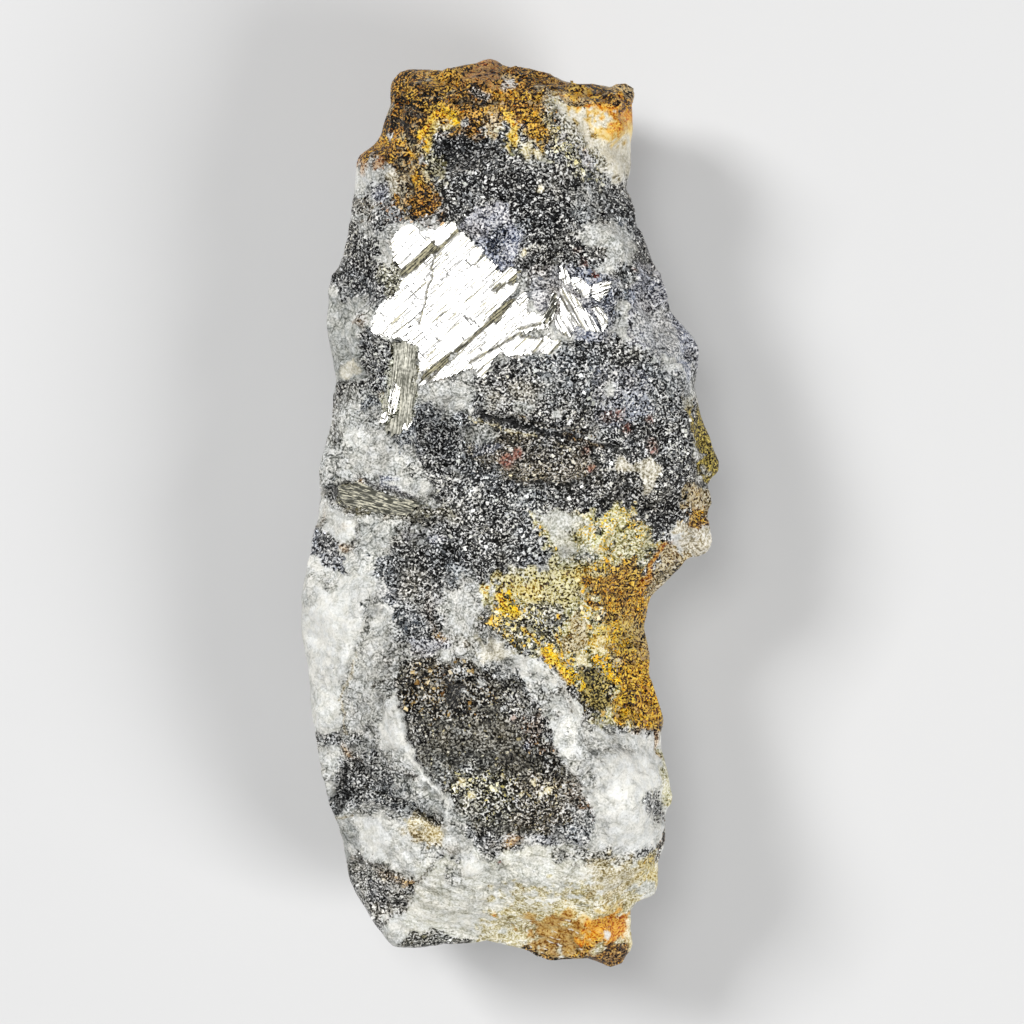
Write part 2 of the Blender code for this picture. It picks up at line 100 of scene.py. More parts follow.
def cell_random(cells, seed):
    """A fixed value from 0 to 1 for every whole-number cell."""
    mixed = (cells[:, 0] * CELL_MIX[0]) ^ (cells[:, 1] * CELL_MIX[1]) ^ (cells[:, 2] * CELL_MIX[2])
    mixed = (mixed ^ (seed * SEED_MIX)) & ALL_BITS
    mixed = ((mixed ^ (mixed >> 15)) * BIT_MIXES[0]) & ALL_BITS
    mixed = ((mixed ^ (mixed >> 13)) * BIT_MIXES[1]) & ALL_BITS
    return (mixed ^ (mixed >> 16)) / float(ALL_BITS)


def swell(points, size, seed):
    """Smooth noise from -1 to 1, with swells of about that size."""
    scaled = points @ TURNED / size
    corner = np.floor(scaled).astype(np.int64)
    part = scaled - corner
    part = part * part * (3.0 - 2.0 * part)
    total = np.zeros(len(points))
    for step in product((0, 1), repeat=3):
        weight = np.prod(np.where(step, part, 1.0 - part), axis=1)
        total += weight * cell_random(corner + np.array(step), seed)
    return total * 2.0 - 1.0


def clouds(points, size, seed, octaves=3):
    """Swells with smaller swells on them."""
    total = np.zeros(len(points))
    share = 1.0
    for octave in range(octaves):
        total += share * swell(points + OCTAVE_SHIFT * octave, size / 2 ** octave, seed + octave)
        share *= OCTAVE_SHARE
    return total / (2.0 - share)


def crystals(points, size, seed):
    """The crystal that each point belongs to: the way from its middle, and its cell."""
    scaled = points @ TURNED.T / size
    home = np.floor(scaled).astype(np.int64)
    nearest = np.full(len(points), np.inf)
    offset = np.zeros((len(points), 3))
    owner = np.zeros((len(points), 3), dtype=np.int64)
    for step in product((-1, 0, 1), repeat=3):
        cell = home + np.array(step)
        middle = cell + np.stack([cell_random(cell, seed + k) for k in (1, 2, 3)], axis=1)
        away = scaled - middle
        distance = np.linalg.norm(away, axis=1)
        closer = distance < nearest
        nearest = np.where(closer, distance, nearest)
        offset[closer] = away[closer]
        owner[closer] = cell[closer]
    return offset * size, owner


def facets(points, size, seed, tilt):
    """Flat crystal faces that lean at random: a height in millimetres for every point."""
    offset, owner = crystals(points, size, seed)
    lean = np.stack([cell_random(owner, seed + k) for k in (11, 12, 13)], axis=1) * 2.0 - 1.0
    return tilt * np.sum(offset * lean, axis=1)


def ease(value, low, high):
    """From 0 below low to 1 above high, eased at both ends."""
    t = np.clip((value - low) / (high - low), 0.0, 1.0)
    return t * t * (3.0 - 2.0 * t)


# ------------------------------------------------------------------ outlines on the face
def gap_to_stretch(places, start, end):
    """How far each place is from one straight stretch."""
    along = end - start
    share = np.clip(((places - start) @ along) / (along @ along), 0.0, 1.0)
    return np.linalg.norm(places - start - share[:, None] * along, axis=1)


def depth_inside(places, corners):
    """How far inside a closed outline each place is; negative outside it."""
    corners = np.array(corners, dtype=float)
    nearest = np.full(len(places), np.inf)
    inside = np.zeros(len(places), dtype=bool)
    for start, end in zip(corners, np.roll(corners, -1, axis=0)):
        nearest = np.minimum(nearest, gap_to_stretch(places, start, end))
        if end[1] != start[1]:
            along = end - start
            crosses = (start[1] > places[:, 1]) != (end[1] > places[:, 1])
            level_x = start[0] + (places[:, 1] - start[1]) / along[1] * along[0]
            inside ^= crosses & (places[:, 0] < level_x)
    return np.where(inside, nearest, -nearest)


def gap_to_line(places, run):
    """How far each place is from a run of straight stretches."""
    run = np.array(run, dtype=float)
    nearest = np.full(len(places), np.inf)
    for start, end in zip(run, run[1:]):
        nearest = np.minimum(nearest, gap_to_stretch(places, start, end))
    return nearest


def side_of_line(places, run):
    """On which side of a run of straight stretches each place lies, 1 at its left or -1, and how far off."""
    run = np.array(run, dtype=float)
    nearest = np.full(len(places), np.inf)
    side = np.ones(len(places))
    for start, end in zip(run, run[1:]):
        along = end - start
        away = places - start
        gap = gap_to_stretch(places, start, end)
        turn = np.where(along[0] * away[:, 1] - along[1] * away[:, 0] > 0.0, 1.0, -1.0)
        side = np.where(gap < nearest, turn, side)
        nearest = np.minimum(nearest, gap)
    return side, nearest


def slant(points):
    """The points turned so that the streaks of the foot run along x."""
    turn = np.radians(FOOT_SLANT)
    run = np.array((np.cos(turn), np.sin(turn), 0.0))
    across = np.array((-np.sin(turn), np.cos(turn), 0.0))
    return np.column_stack([points @ run, points @ across, points[:, 2]])


def drawn(points):
    """Where points lie on the drawing of the face, which is as seen from above its middle."""
    return points[:, :2] * ((SEEN_FROM - WAIST_HEIGHT) / (SEEN_FROM - points[:, 2]))[:, None]


def near(places, corners, margin):
    """Only the places close enough to an outline to be touched by it."""
    corners = np.array(corners, dtype=float)
    low = corners.min(axis=0) - margin
    high = corners.max(axis=0) + margin
    return np.flatnonzero(np.all((places > low) & (places < high), axis=1))


# A patch of one finish on the face: its finish, its outline, how softly its edge fades, and how much of
# what lies under it it covers.
Patch = namedtuple("Patch", "finish corners soft cover", defaults=(0.5, 1.0))
# A crack, vein or edge line: its finish, its run, its width, how deep it is cut, and its cover.
Line = namedtuple("Line", "finish run width cut cover", defaults=(0.0, 1.0))
# What a ground looks like: its colour, grain (0 even to 1 salt-and-pepper), sugar (small leaning
# facets), metal, the colour of its clumped flecks, their share, how far it is drawn out in slanting
# streaks, how coarse its grain is (-1 finest to 1 coarsest), and how much it is cut by dark wandering
# veins.
Finish = namedtuple("Finish", "colour grain sugar metal fleck flecks streaks coarse veins",
                    defaults=(0.0, 0.0, None, 0.0, 0.0, 0.0, 0.0))

FINISHES = {
    "white quartz": Finish((205, 206, 203), 0.12, 0.42, 0.0, (150, 152, 150), 0.03),
    "snow quartz": Finish((217, 218, 215), 0.08, 0.2, 0.0, (176, 176, 170), 0.03),
    "grey quartz": Finish((184, 185, 182), 0.30, 0.9, 0.0, (84, 86, 88), 0.10),
    "smooth grey quartz": Finish((172, 174, 171), 0.14, 0.6, 0.0, (110, 112, 112), 0.05),
    "pale block quartz": Finish((212, 208, 194), 0.14, 0.14, 0.0, (160, 152, 124), 0.05),
    "lilac quartz": Finish((166, 167, 174), 0.6, 0.7, 0.0, (40, 44, 56), 0.14),
    "blue-dark grains": Finish((74, 79, 92), 1.0, 0.5, 0.3, (200, 203, 214), 0.16),
    "speckled grains": Finish((73, 74, 74), 1.0, 0.4, 0.35, (226, 226, 220), 0.22, 0.0, 0.0, 0.25),
    "dark grains": Finish((34, 35, 35), 1.0, 0.4, 0.45, (204, 204, 200), 0.12, 0.0, 0.0, 0.3),
    # near black: dark grains, with the shade of the hollows they lie in painted on
    "black hollow": Finish((26, 27, 28), 0.9, 0.3, 0.3, (120, 120, 118), 0.10),
    "fine grey grains": Finish((80, 78, 70), 0.8, 0.2, 0.3, (184, 176, 146), 0.10, 0.0, -0.9),
    "coarse olive grains": Finish((92, 89, 72), 1.0, 0.4, 0.3, (226, 218, 170), 0.26, 0.0, 1.0),
    "dark brown grains": Finish((48, 44, 34), 1.0, 0.4, 0.3, (176, 148, 92), 0.20, 0.0, 0.8),
    "ochre clumps": Finish((84, 80, 52), 1.0, 0.4, 0.1, (252, 204, 24), 0.56, 0.0, 0.8, 0.5),
    "cream worms": Finish((214, 204, 152), 0.75, 0.5, 0.0, (92, 82, 50), 0.12, 0.0, 1.0),
    "brown grains": Finish((98, 90, 76), 1.0, 0.4, 0.2, (196, 184, 150), 0.18, 0.0, -0.2),
    "olive metal": Finish((104, 102, 86), 0.9, 0.1, 0.6, (196, 196, 186), 0.20),
    "olive fibres": Finish((146, 144, 120), 0.8, 0.2, 0.4, (228, 226, 206), 0.34),
    "dark olive": Finish((62, 59, 44), 0.8, 0.1, 0.5, (140, 136, 112), 0.12),
    "olive quartz": Finish((202, 194, 160), 0.30, 0.5, 0.0, (150, 120, 60), 0.16, 0.8),
    "streaky quartz": Finish((204, 204, 196), 0.12, 0.35, 0.0, (150, 150, 138), 0.06, 1.0),
    "beige quartz": Finish((198, 182, 142), 0.55, 0.6, 0.0, (120, 90, 44), 0.16),
    "cream": Finish((238, 230, 200), 0.20, 0.4, 0.0, (190, 170, 110), 0.08),
    "rust": Finish((108, 74, 26), 1.0, 0.5, 0.0, (218, 156, 58), 0.24, 0.0, 0.6, 1.0),
    "dark rust": Finish((54, 40, 18), 1.0, 0.5, 0.0, (196, 132, 44), 0.16, 0.0, 0.6, 1.0),
    "tan": Finish((202, 152, 84), 0.5, 0.5, 0.0, (86, 60, 34), 0.16, 0.0, 0.0, 0.8),
    "gold stain": Finish((170, 124, 42), 0.85, 0.5, 0.0, (250, 196, 48), 0.38, 0.0, 0.6, 0.7),
    "gold brown": Finish((140, 102, 38), 0.8, 0.5, 0.0, (244, 188, 48), 0.34, 0.0, 0.5, 0.7),
    "yellow stain": Finish((204, 186, 112), 0.45, 0.7, 0.0, (248, 204, 28), 0.42, 0.0, 0.6, 0.4),
    "pale yellow": Finish((202, 198, 158), 0.42, 0.8, 0.0, (244, 202, 44), 0.28, 0.0, 0.5, 0.4),
    "bright yellow": Finish((244, 192, 12), 0.6, 0.2, 0.0, (252, 220, 80), 0.25),
    "yellow glaze": Finish((220, 188, 96), 0.16, 0.3, 0.0, (246, 206, 80), 0.12),
    "orange glaze": Finish((216, 154, 34), 0.24, 0.3, 0.0, (250, 190, 60), 0.2),
    "amber": Finish((196, 138, 28), 0.3, 0.3, 0.0, (250, 200, 76), 0.18, 0.4),
    "amber brown": Finish((112, 76, 26), 0.5, 0.4, 0.0, (220, 160, 60), 0.2),
    "yellow green": Finish((140, 124, 52), 0.6, 0.4, 0.0, (226, 196, 70), 0.2),
    "red brown": Finish((78, 58, 46), 1.0, 0.4, 0.0, (126, 44, 18), 0.46),
    # near black: partly the dark fill of the cracks, partly painted shade down in them
    "crack": Finish((13, 13, 12), 0.3, 0.0, 0.0, (60, 58, 50), 0.06),
    "honey": Finish((176, 166, 138), 0.3, 0.2, 0.0, (220, 206, 160), 0.08),
    "smooth amber": Finish((176, 136, 64), 0.14, 0.3, 0.0, (222, 186, 104), 0.10, 0.8),
}

PATCHES = [Patch(*row) for row in [
    # the wide grounds
    ("speckled grains", [(-9.5, 30), (-8, 32), (-7.2, 35), (-4, 36.4), (1, 35), (4.3, 33.5), (6.4, 32),
     (8, 30.4), (10, 29.4), (12, 26), (13.2, 23.5), (14, 21), (11.5, 21), (9.5, 20), (5.5, 20.5), (1, 22),
     (-1, 22.2), (-3, 24.5), (-5, 26), (-7.5, 26.6), (-9.8, 26.8)]),
    # hollows under the crust, painted near black: partly dark grains, partly painted shade
    ("black hollow", [(-6.8, 33.8), (-5, 34.8), (-3, 34.4), (-1.5, 33.2), (-1.2, 31.8), (-3.5, 31.2),
     (-6, 31), (-7.2, 32)], 0.9, 0.85),
    ("dark grains", [(-3, 31), (0, 30.8), (2.6, 31), (6, 31.5), (9.6, 28.5), (8.4, 26.6), (6, 26), (4.6, 24),
     (2.2, 25), (-1, 28), (-4, 29.2)], 1.4, 0.95),
    ("black hollow", [(-1.8, 30.6), (2.6, 30.2), (7, 30.4), (8.6, 27.8), (6.2, 26.4), (3.6, 27.4),
     (-1.6, 28.8)], 0.9, 0.5),
    ("speckled grains", [(-16.5, 26), (-12.5, 26.2), (-10.9, 24.8), (-10.7, 23), (-9.9, 22), (-10, 20.1),
     (-12.3, 18.9), (-13.2, 19.6), (-14.6, 20.4), (-17.5, 20.6)]),
    ("dark grains", [(-13.4, 24), (-11.4, 24.2), (-10.6, 22.4), (-11.2, 20.4), (-12.8, 20.6)], 0.8, 0.35),
    ("speckled grains", [(-13.3, 15.8), (-12.6, 16.6), (-11.5, 15.9), (-10, 15.6), (-8.4, 14.8),
     (-8.6, 12.6), (-10, 10.9), (-11.6, 10.9), (-13.1, 11.6), (-13.3, 13)]),
    ("speckled grains", [(-3, 12), (0, 14.2), (3.6, 14.4), (5, 15.6), (8, 16), (10.6, 15.5), (12.3, 14.4),
     (15.4, 12), (15.8, 10), (16.4, 8), (16.7, 5), (17.4, 3), (17, 0.5), (15.5, -2), (13.5, -2.6),
     (11.5, -0.8), (10.5, 0.3), (7.5, 0.1), (5, -0.8), (3, -4.8), (0, -5), (-2.3, -6.2), (-5, -5.5),
     (-7, -6), (-9, -4.5), (-8, -2.5), (-5.2, -1.6), (-4.9, 0.5), (-7.4, 1.5), (-8.4, 5), (-8.5, 8.5),
     (-7.3, 9.2), (-3.4, 9.2)]),
    ("dark grains", [(-8.8, 9.6), (-7, 9), (-4.6, 8.8), (-4, 7.2), (-5, 5.2), (-7.6, 5),
     (-8.8, 6.6)], 0.8, 0.5),
    ("dark grains", [(-0.4, 13.4), (3, 13.8), (6, 12.8), (7.6, 10.4), (4.4, 10), (0, 11)], 1.2, 0.35),
    ("dark grains", [(9.2, 3.8), (13, 1.9), (16, 2.6), (16.2, 0.4), (14.5, -1.8), (11, -0.4),
     (8.6, 0.6)], 0.9, 0.75),
    ("lilac quartz", [(7.5, 13.4), (12, 12.6), (13.2, 9.6), (10.4, 7.6), (7.6, 8.6)], 1, 0.5),
    ("dark grains", [(5, 16), (8.2, 15.8), (9, 14.2), (7.4, 13.2), (5.2, 13.8)], 0.7, 0.7),
    ("dark grains", [(-6, -1.4), (-1, -1.4), (-0.4, -4.2), (-2.6, -5), (-5.2, -4.6)], 1, 0.3),
    ("fine grey grains", [(-10.2, -13.8), (-8, -12.9), (-6, -12.6), (-3, -13.4), (-0.6, -14.1), (2.4, -16.5),
     (3.4, -20.2), (5.3, -22.9), (7.5, -25.4), (7.8, -27), (7.3, -28.9), (2.4, -29.1), (-2.6, -28.9),
     (-5, -27.4), (-6, -24.9), (-8.7, -21.9), (-9.3, -20.4), (-9.7, -17.5), (-10.6, -16)], 0.5),
    ("dark brown grains", [(-10.4, -15), (-8.6, -13.2), (-6, -13), (-3.4, -13.8), (-1.8, -15), (-1.2, -17.4),
     (-3.4, -18.4), (-6.4, -17.8), (-9.6, -18.6)], 1, 0.9),
    # a small hollow painted near black with the crack finish: painted shade
    ("crack", [(-6, -14.8), (-4.6, -15), (-4.3, -16.6), (-4.8, -17.6), (-5.9, -17)], 0.6, 0.8),
    ("speckled grains", [(-1.4, -15.4), (1.4, -15.8), (3, -17.6), (1.4, -18.8), (-1, -18.2)], 0.9, 0.75),
    ("dark grains", [(-10, -18), (-8.4, -17.8), (-7.6, -20), (-8.8, -21.6), (-9.6, -20)], 0.7, 0.6),
    ("coarse olive grains", [(-5.2, -23.4), (-2.6, -23), (0.8, -23.6), (1.2, -26.4), (-0.6, -27.6),
     (-3.6, -27.4), (-5.2, -25.2)], 0.8, 0.9),
    ("brown grains", [(0.6, -23.8), (3, -22.6), (5.4, -23.6), (7.2, -26), (7.2, -28.6), (3, -28.8),
     (0.4, -27.4)], 0.9, 0.85),
    ("dark brown grains", [(0.8, -18.6), (2.8, -18), (4.4, -21.2), (5.8, -23.6), (4, -24),
     (2, -21.6)], 0.8, 0.75),
    ("red brown", [(5, -23.4), (7, -25), (7.9, -28), (6.6, -29.4), (5.6, -27)], 0.8, 0.5),
    ("red brown", [(0.2, -18.6), (3, -18.4), (3.6, -21), (2, -21.2)], 0.7, 0.5),
    ("smooth grey quartz", [(-8.6, -22.2), (-7.4, -22.8), (-5.2, -26), (-3.6, -28), (-5.4, -27.8),
     (-8.2, -25)], 0.5, 0.85),
    ("dark grains", [(-4.4, -27.8), (-1.6, -28.6), (-0.2, -30.8), (-1, -31.6), (-2.4, -30.4),
     (-4.2, -29.4)], 1, 0.6),

    # the rusty crust along the top
    ("rust", [(-12.5, 41), (-12.6, 34.8), (-14, 32.8), (-10.8, 30.8), (-10.6, 28.3), (-9.8, 26.8),
     (-7.2, 26.6), (-6.2, 28.5), (-7, 30.5), (-7.8, 32), (-7.4, 34), (-6.4, 35.4), (-4, 35.2), (-2.4, 34.6),
     (0, 35.4), (1.6, 33.6), (3.2, 33), (4, 34.4), (3, 36.4), (6, 36.9), (12.5, 36.6), (12.5, 42)], 0.8),
    ("gold stain", [(-7.6, 39.4), (-4.6, 39.4), (-3.6, 38), (-5.4, 37), (-7.2, 37.4)], 0.9, 0.45),
    ("dark rust", [(-11.2, 38.4), (-8.6, 39.4), (-8, 37), (-8.2, 35.2), (-9.2, 33.8), (-10.8, 33.6),
     (-11.8, 34.6)], 1.1, 0.9),
    ("gold brown", [(-12.6, 34), (-9.6, 34), (-8.4, 32.4), (-9.4, 30.6), (-12, 31.2)], 0.8, 0.7),
    ("dark rust", [(-10.8, 32.8), (-9.6, 32.6), (-6.4, 28.8), (-6.4, 26.8), (-9.6, 26.8),
     (-9.8, 29.4)], 0.8, 0.9),
    ("gold stain", [(-9.6, 31), (-8.2, 31.4), (-7.6, 29.8), (-9, 29.2)], 0.7, 0.6),
    ("coarse olive grains", [(-9, 33.6), (-7.2, 33.4), (-6.4, 31), (-5.4, 29.6), (-6.6, 29.2),
     (-7.8, 31.4)], 0.8, 0.7),
    ("yellow stain", [(-8.4, 33.8), (-8, 35.2), (-6.8, 36.4), (-5, 36.6), (-4.4, 35.2), (-5.2, 34.3),
     (-6.6, 34.2), (-7.4, 33.2)], 0.6, 0.85),
    ("cream", [(-7, 35.4), (-5.6, 35.8), (-5, 35), (-6.2, 34.4), (-7, 34.6)], 0.4, 0.7),
    ("dark rust", [(-6.4, 34.4), (-5, 35.2), (-2.8, 35), (-2.4, 33.8), (-4.6, 34), (-6.6, 33.2)], 0.5, 0.85),
    ("amber brown", [(-12, 33.4), (-10.6, 33.2), (-10.4, 31.2), (-13, 32)], 0.5, 0.6),
    ("crack", [(-10, 36.9), (-8.6, 37), (-7.2, 36.2), (-7.6, 35.6), (-9.4, 36)], 0.5, 0.6),
    ("gold stain", [(-10.4, 37.9), (-9.2, 38.2), (-8.2, 37.6), (-8.9, 37.2)], 0.5, 0.5),
    ("gold stain", [(-2.2, 38.3), (2, 38), (2.2, 37), (-1.6, 36.7)], 0.7, 0.6),
    ("gold stain", [(0.4, 38), (4, 37.9), (8.8, 37.4), (8.8, 36.8), (3.8, 37), (0.4, 37.2)], 0.5, 0.8),
    ("dark rust", [(-7.8, 38), (-4.6, 36.9), (-2, 36.7), (-1.2, 37.3), (-4, 37.7), (-7, 38.6)], 0.6, 0.7),
    ("speckled grains", [(-3.8, 38), (-2.4, 38.1), (-1.6, 37.5), (-2.4, 37.1), (-3.9, 37.3)], 0.4, 0.85),
    ("white quartz", [(-0.6, 39), (0.4, 39.1), (0.6, 38.5), (-0.4, 38.4)], 0.4, 0.7),
    ("cream", [(-2.3, 35.9), (-0.9, 36), (-0.6, 34.4), (-1.8, 33.8), (-2.6, 34.4)], 0.6, 0.7),
    ("yellow stain", [(-0.8, 36), (0.8, 35.6), (1.4, 34.2), (1, 32.8), (-0.2, 32.6),
     (-0.9, 33.6)], 0.6, 0.9),
    ("pale yellow", [(1, 33.2), (3, 32.8), (3.4, 31.8), (1.2, 31.8), (0.4, 32.4)], 0.6, 0.75),
    ("gold brown", [(0.4, 36.2), (2, 36.4), (3.6, 34.4), (3.9, 32.9), (2.8, 32.8), (1.8, 34.2)], 0.6, 0.8),
    ("coarse olive grains", [(2.8, 36), (4, 35.4), (5, 33.4), (6.6, 32), (8.6, 30.2), (8, 29.4), (5.4, 30.8),
     (3.6, 32.4)], 0.8, 0.8),
    ("dark rust", [(1.5, 39), (5, 38.4), (9.5, 38.2), (9.4, 37.5), (4.8, 37.6), (1.2, 38.2)], 0.6, 0.75),
    ("tan", [(-4.2, 39.4), (-2, 41.4), (-0.4, 40.6), (-0.6, 39.2), (-1.8, 38.4), (-3.6, 38.7)], 0.4, 0.95),

    # smooth quartz of the top right corner
    ("pale block quartz", [(3.4, 36.9), (10.6, 37), (12, 37), (12, 31), (10.4, 29.4), (9, 30), (8, 31.3),
     (7, 32.2), (5.8, 33.2), (4.6, 34.8)], 0.7),
    ("cream", [(2.8, 37.6), (5.2, 37.7), (5.4, 36.6), (3, 36.4)], 0.6, 0.5),
    ("pale block quartz", [(4.2, 36), (7.4, 36), (7.8, 34.2), (5.8, 33.2), (4.4, 34.2)], 0.8, 0.6),
    ("yellow glaze", [(4.8, 37), (10.4, 37.2), (10.8, 34), (9.8, 33.2), (8.7, 33.6), (8.5, 35.2),
     (6.6, 35.5), (4.9, 35.9)], 1.3, 0.8),
    ("orange glaze", [(6.6, 37.2), (10.8, 37.6), (10.8, 34.9), (9.6, 34.4), (8.9, 35.7),
     (7, 36.2)], 1, 0.85),
    ("dark rust", [(10.5, 36.4), (12.2, 36.4), (12.2, 33), (10.9, 33)], 0.3, 0.6),

    # left rim, upper part
    ("grey quartz", [(-15, 32), (-12.6, 32.2), (-10.6, 31.2), (-10.4, 28.6), (-12.4, 26.4),
     (-15.6, 26.6)], 0.6),
    ("white quartz", [(-14.4, 30.9), (-12.3, 31.2), (-12, 29.4), (-13.6, 29)], 0.5, 0.8),
    ("lilac quartz", [(-12.4, 29.8), (-10.9, 30), (-10.8, 28.2), (-12, 28)], 0.6, 0.9),
    ("tan", [(-15, 32.6), (-12.6, 33), (-11.8, 32), (-12.6, 31.2), (-14.6, 31.4)], 0.5, 0.7),
    ("white quartz", [(-13.4, 26.4), (-12.4, 26.2), (-12.2, 25.4), (-13, 25.2)], 0.3, 0.8),
    ("smooth grey quartz", [(-18, 20.6), (-15.3, 20.2), (-14, 20), (-13, 19), (-12.7, 17.8), (-13, 16.5),
     (-13.6, 15.5), (-13.8, 14.3), (-13.2, 13), (-13.3, 12), (-14.5, 11.6), (-17, 11.2)], 0.35),
    ("pale block quartz", [(-14.9, 13.8), (-13.9, 14.2), (-13.5, 12.4), (-14.6, 12),
     (-15.2, 12.6)], 0.25, 0.8),

    # lilac and pale patches of the upper face
    ("lilac quartz", [(-4, 26.8), (-2.5, 28), (-0.3, 27.8), (0.3, 26.6), (0.9, 25.3), (0.8, 24), (0.3, 22.7),
     (-0.8, 22.1), (-1.9, 23.2), (-2.9, 24.3), (-3.6, 25.2), (-4.4, 25.7)], 0.4),
    ("blue-dark grains", [(-2.1, 25.6), (-0.9, 25.9), (-0.1, 24.7), (-0.8, 23.3), (-2.1, 24)], 0.5, 1),
    ("white quartz", [(6.3, 25.2), (6.6, 26.2), (8.2, 26.4), (10.1, 26), (11.1, 25), (11.4, 23.4),
     (10.6, 22.3), (9.6, 22.2), (8.9, 21.3), (7.8, 21.6), (7.2, 22.9), (6.9, 24)], 0.5, 0.85),
    ("grey quartz", [(5.4, 29), (7.4, 29.4), (8.4, 28), (8.2, 26.4), (6.4, 26.4), (5.6, 27.6)], 0.7, 0.7),
    ("grey quartz", [(0.6, 32.6), (3.2, 32.4), (3.4, 31), (1.4, 30.8)], 0.6, 0.7),
    ("lilac quartz", [(2, 22.6), (5.2, 22.6), (9.8, 21), (9.8, 18.6), (8.6, 15.4), (5.4, 15.8), (3, 17.6),
     (1.6, 19.6)], 0.5, 0.75),
    ("blue-dark grains", [(6.6, 19.6), (8.8, 19.8), (10, 17.6), (8.6, 16.2), (7.4, 17.4)], 0.7, 0.6),
    ("lilac quartz", [(11.6, 22.6), (14.4, 22.4), (15, 19.2), (15.6, 17.6), (16.8, 16.2), (18, 15.2),
     (17.6, 12.4), (15.3, 12.2), (12.3, 14.5), (10.8, 15.3), (10.6, 16.9), (10.2, 17.8),
     (11, 20)], 0.5, 0.95),
    ("white quartz", [(11.2, 18.6), (13.4, 18.4), (15.2, 16.6), (16.4, 14.4), (14.2, 13.2), (12.4, 14.6),
     (11, 16.4)], 0.8, 0.5),
    ("dark grains", [(10.1, 29), (11.4, 28.6), (12.6, 25.4), (13.2, 23), (12, 22.6), (11.2, 25.2),
     (10.4, 27.2)], 0.5, 0.7),

    # right rim, below
    ("yellow green", [(15.8, 10.6), (16.8, 11), (20, 7.6), (20, 2.6), (17.4, 2.8), (17.1, 4.6),
     (16.4, 7.6)], 0.35, 0.95),
    ("grey quartz", [(15.4, 13), (18, 14), (18, 9.6), (16.4, 9.2), (15.8, 11.2)], 0.5, 0.7),
    ("beige quartz", [(15.5, 2.4), (19, 2.4), (19, -0.2), (17, -0.2), (15.8, 0.8)], 0.5, 0.85),
    ("white quartz", [(14.9, -0.9), (19.5, -0.6), (19.5, -4.4), (15.6, -4.6), (14.6, -3),
     (14.2, -1.8)], 0.4, 0.95),
    ("beige quartz", [(15.2, -1), (18, -1), (18.2, -3.4), (15.6, -3.8)], 0.7, 0.4),
    ("beige quartz", [(13.9, -2.6), (15, -3.3), (16.4, -4.2), (14.9, -6), (13.2, -7.4), (12.2, -8),
     (12.1, -6.6), (12.9, -4.8)], 0.35, 0.95),
    ("gold stain", [(15.8, 0.4), (17.2, 0.6), (17.6, -0.8), (16.4, -1.2), (15.6, -0.4)], 0.4, 0.8),

    # middle of the face, left half
    ("grey quartz", [(-17.5, 11), (-12.5, 11.2), (-11.5, 9.5), (-11.6, 8.2), (-10, 7.2), (-9.3, 6),
     (-8.2, 4.5), (-7.4, 3), (-6.5, 2), (-8.5, 0.9), (-10.5, 1.3), (-12.3, 2), (-13, 3), (-14.8, 3.2),
     (-15.8, 2.2), (-18.5, 2.2), (-18.5, 5)], 0.4),
    ("white quartz", [(-15.2, 7.8), (-12.4, 7.4), (-9.8, 5.6), (-9, 3.6), (-11.4, 3.2),
     (-14.6, 3.8)], 0.8, 0.65),
    ("lilac quartz", [(-12, 3.4), (-10, 3.2), (-8.2, 2.2), (-9.2, 1.4), (-11.6, 2.2)], 0.5, 0.7),
    ("speckled grains", [(-17.2, 12), (-13.4, 11.8), (-11.4, 12.2), (-11.6, 11.2), (-14.4, 10.9),
     (-17, 10.2)], 0.35, 0.75),
    ("grey quartz", [(-8.3, 10.2), (-7.4, 11.2), (-6.3, 11.9), (-4.5, 12.1), (-3.2, 11.9), (-2.9, 10.6),
     (-3.4, 9.3), (-4.3, 8.9), (-5.2, 8.8), (-6.5, 8.7), (-7.5, 9.2)], 0.35),
    ("grey quartz", [(0, 11.6), (2.4, 12), (3, 10.6), (2, 9.6), (0.2, 10)], 0.7, 0.55),
    ("white quartz", [(-7.6, 10.2), (-6.4, 11.5), (-4.4, 11.6), (-3.4, 10.6), (-4.4, 9.3),
     (-6.6, 9.2)], 0.5, 0.6),
    # painted shade of the hollow that sinks here, partly dark grains
    ("black hollow", [(-8, 8), (-5.6, 8.2), (-4.6, 7), (-5.6, 5.6), (-7.6, 5.6)], 0.6, 0.45),
    ("brown grains", [(-3.5, 7.9), (0, 7.6), (3, 7), (6.5, 6.3), (7.5, 5.5), (8, 4.5), (7, 3.3), (5, 2.8),
     (2, 2.6), (0, 2.8), (-1.5, 3.2), (-3, 4), (-4.4, 5.6)], 0.4, 0.75),
    ("blue-dark grains", [(-3.5, 6), (-1.8, 6.4), (-0.7, 5.8), (-1.9, 5.2), (-3.6, 5.2)], 0.5, 0.75),
    ("dark grains", [(0.4, 6.6), (3.6, 6.4), (4.4, 4.6), (2, 3.6), (-0.4, 4.4)], 0.8, 0.45),
    ("pale block quartz", [(9.1, 4.6), (10, 5.1), (11, 4.5), (12.3, 5.2), (13.3, 4.4), (13.5, 3.6),
     (12.6, 2.2), (12, 1.9), (11.5, 3.2), (10.9, 3.9), (9.8, 3.8)], 0.3, 0.78),
    ("smooth grey quartz", [(0.3, 10.2), (1.2, 10.5), (2.2, 9.9), (2, 9.1), (0.9, 8.9),
     (0.2, 9.4)], 0.25, 0.75),
    ("snow quartz", [(8.5, 11.5), (9.5, 11.5), (9.6, 10.6), (8.7, 10.5)], 0.25, 0.8),
    ("olive metal", [(-15.8, 2.2), (-14.9, 2.9), (-13.6, 3.1), (-12.6, 2.4), (-11.5, 1.8), (-10, 1.3),
     (-8.3, 0.8), (-6, 0.7), (-5, 0), (-5.4, -1.1), (-7.5, -1.2), (-9.5, -0.9), (-11, -0.3), (-13, -0.1),
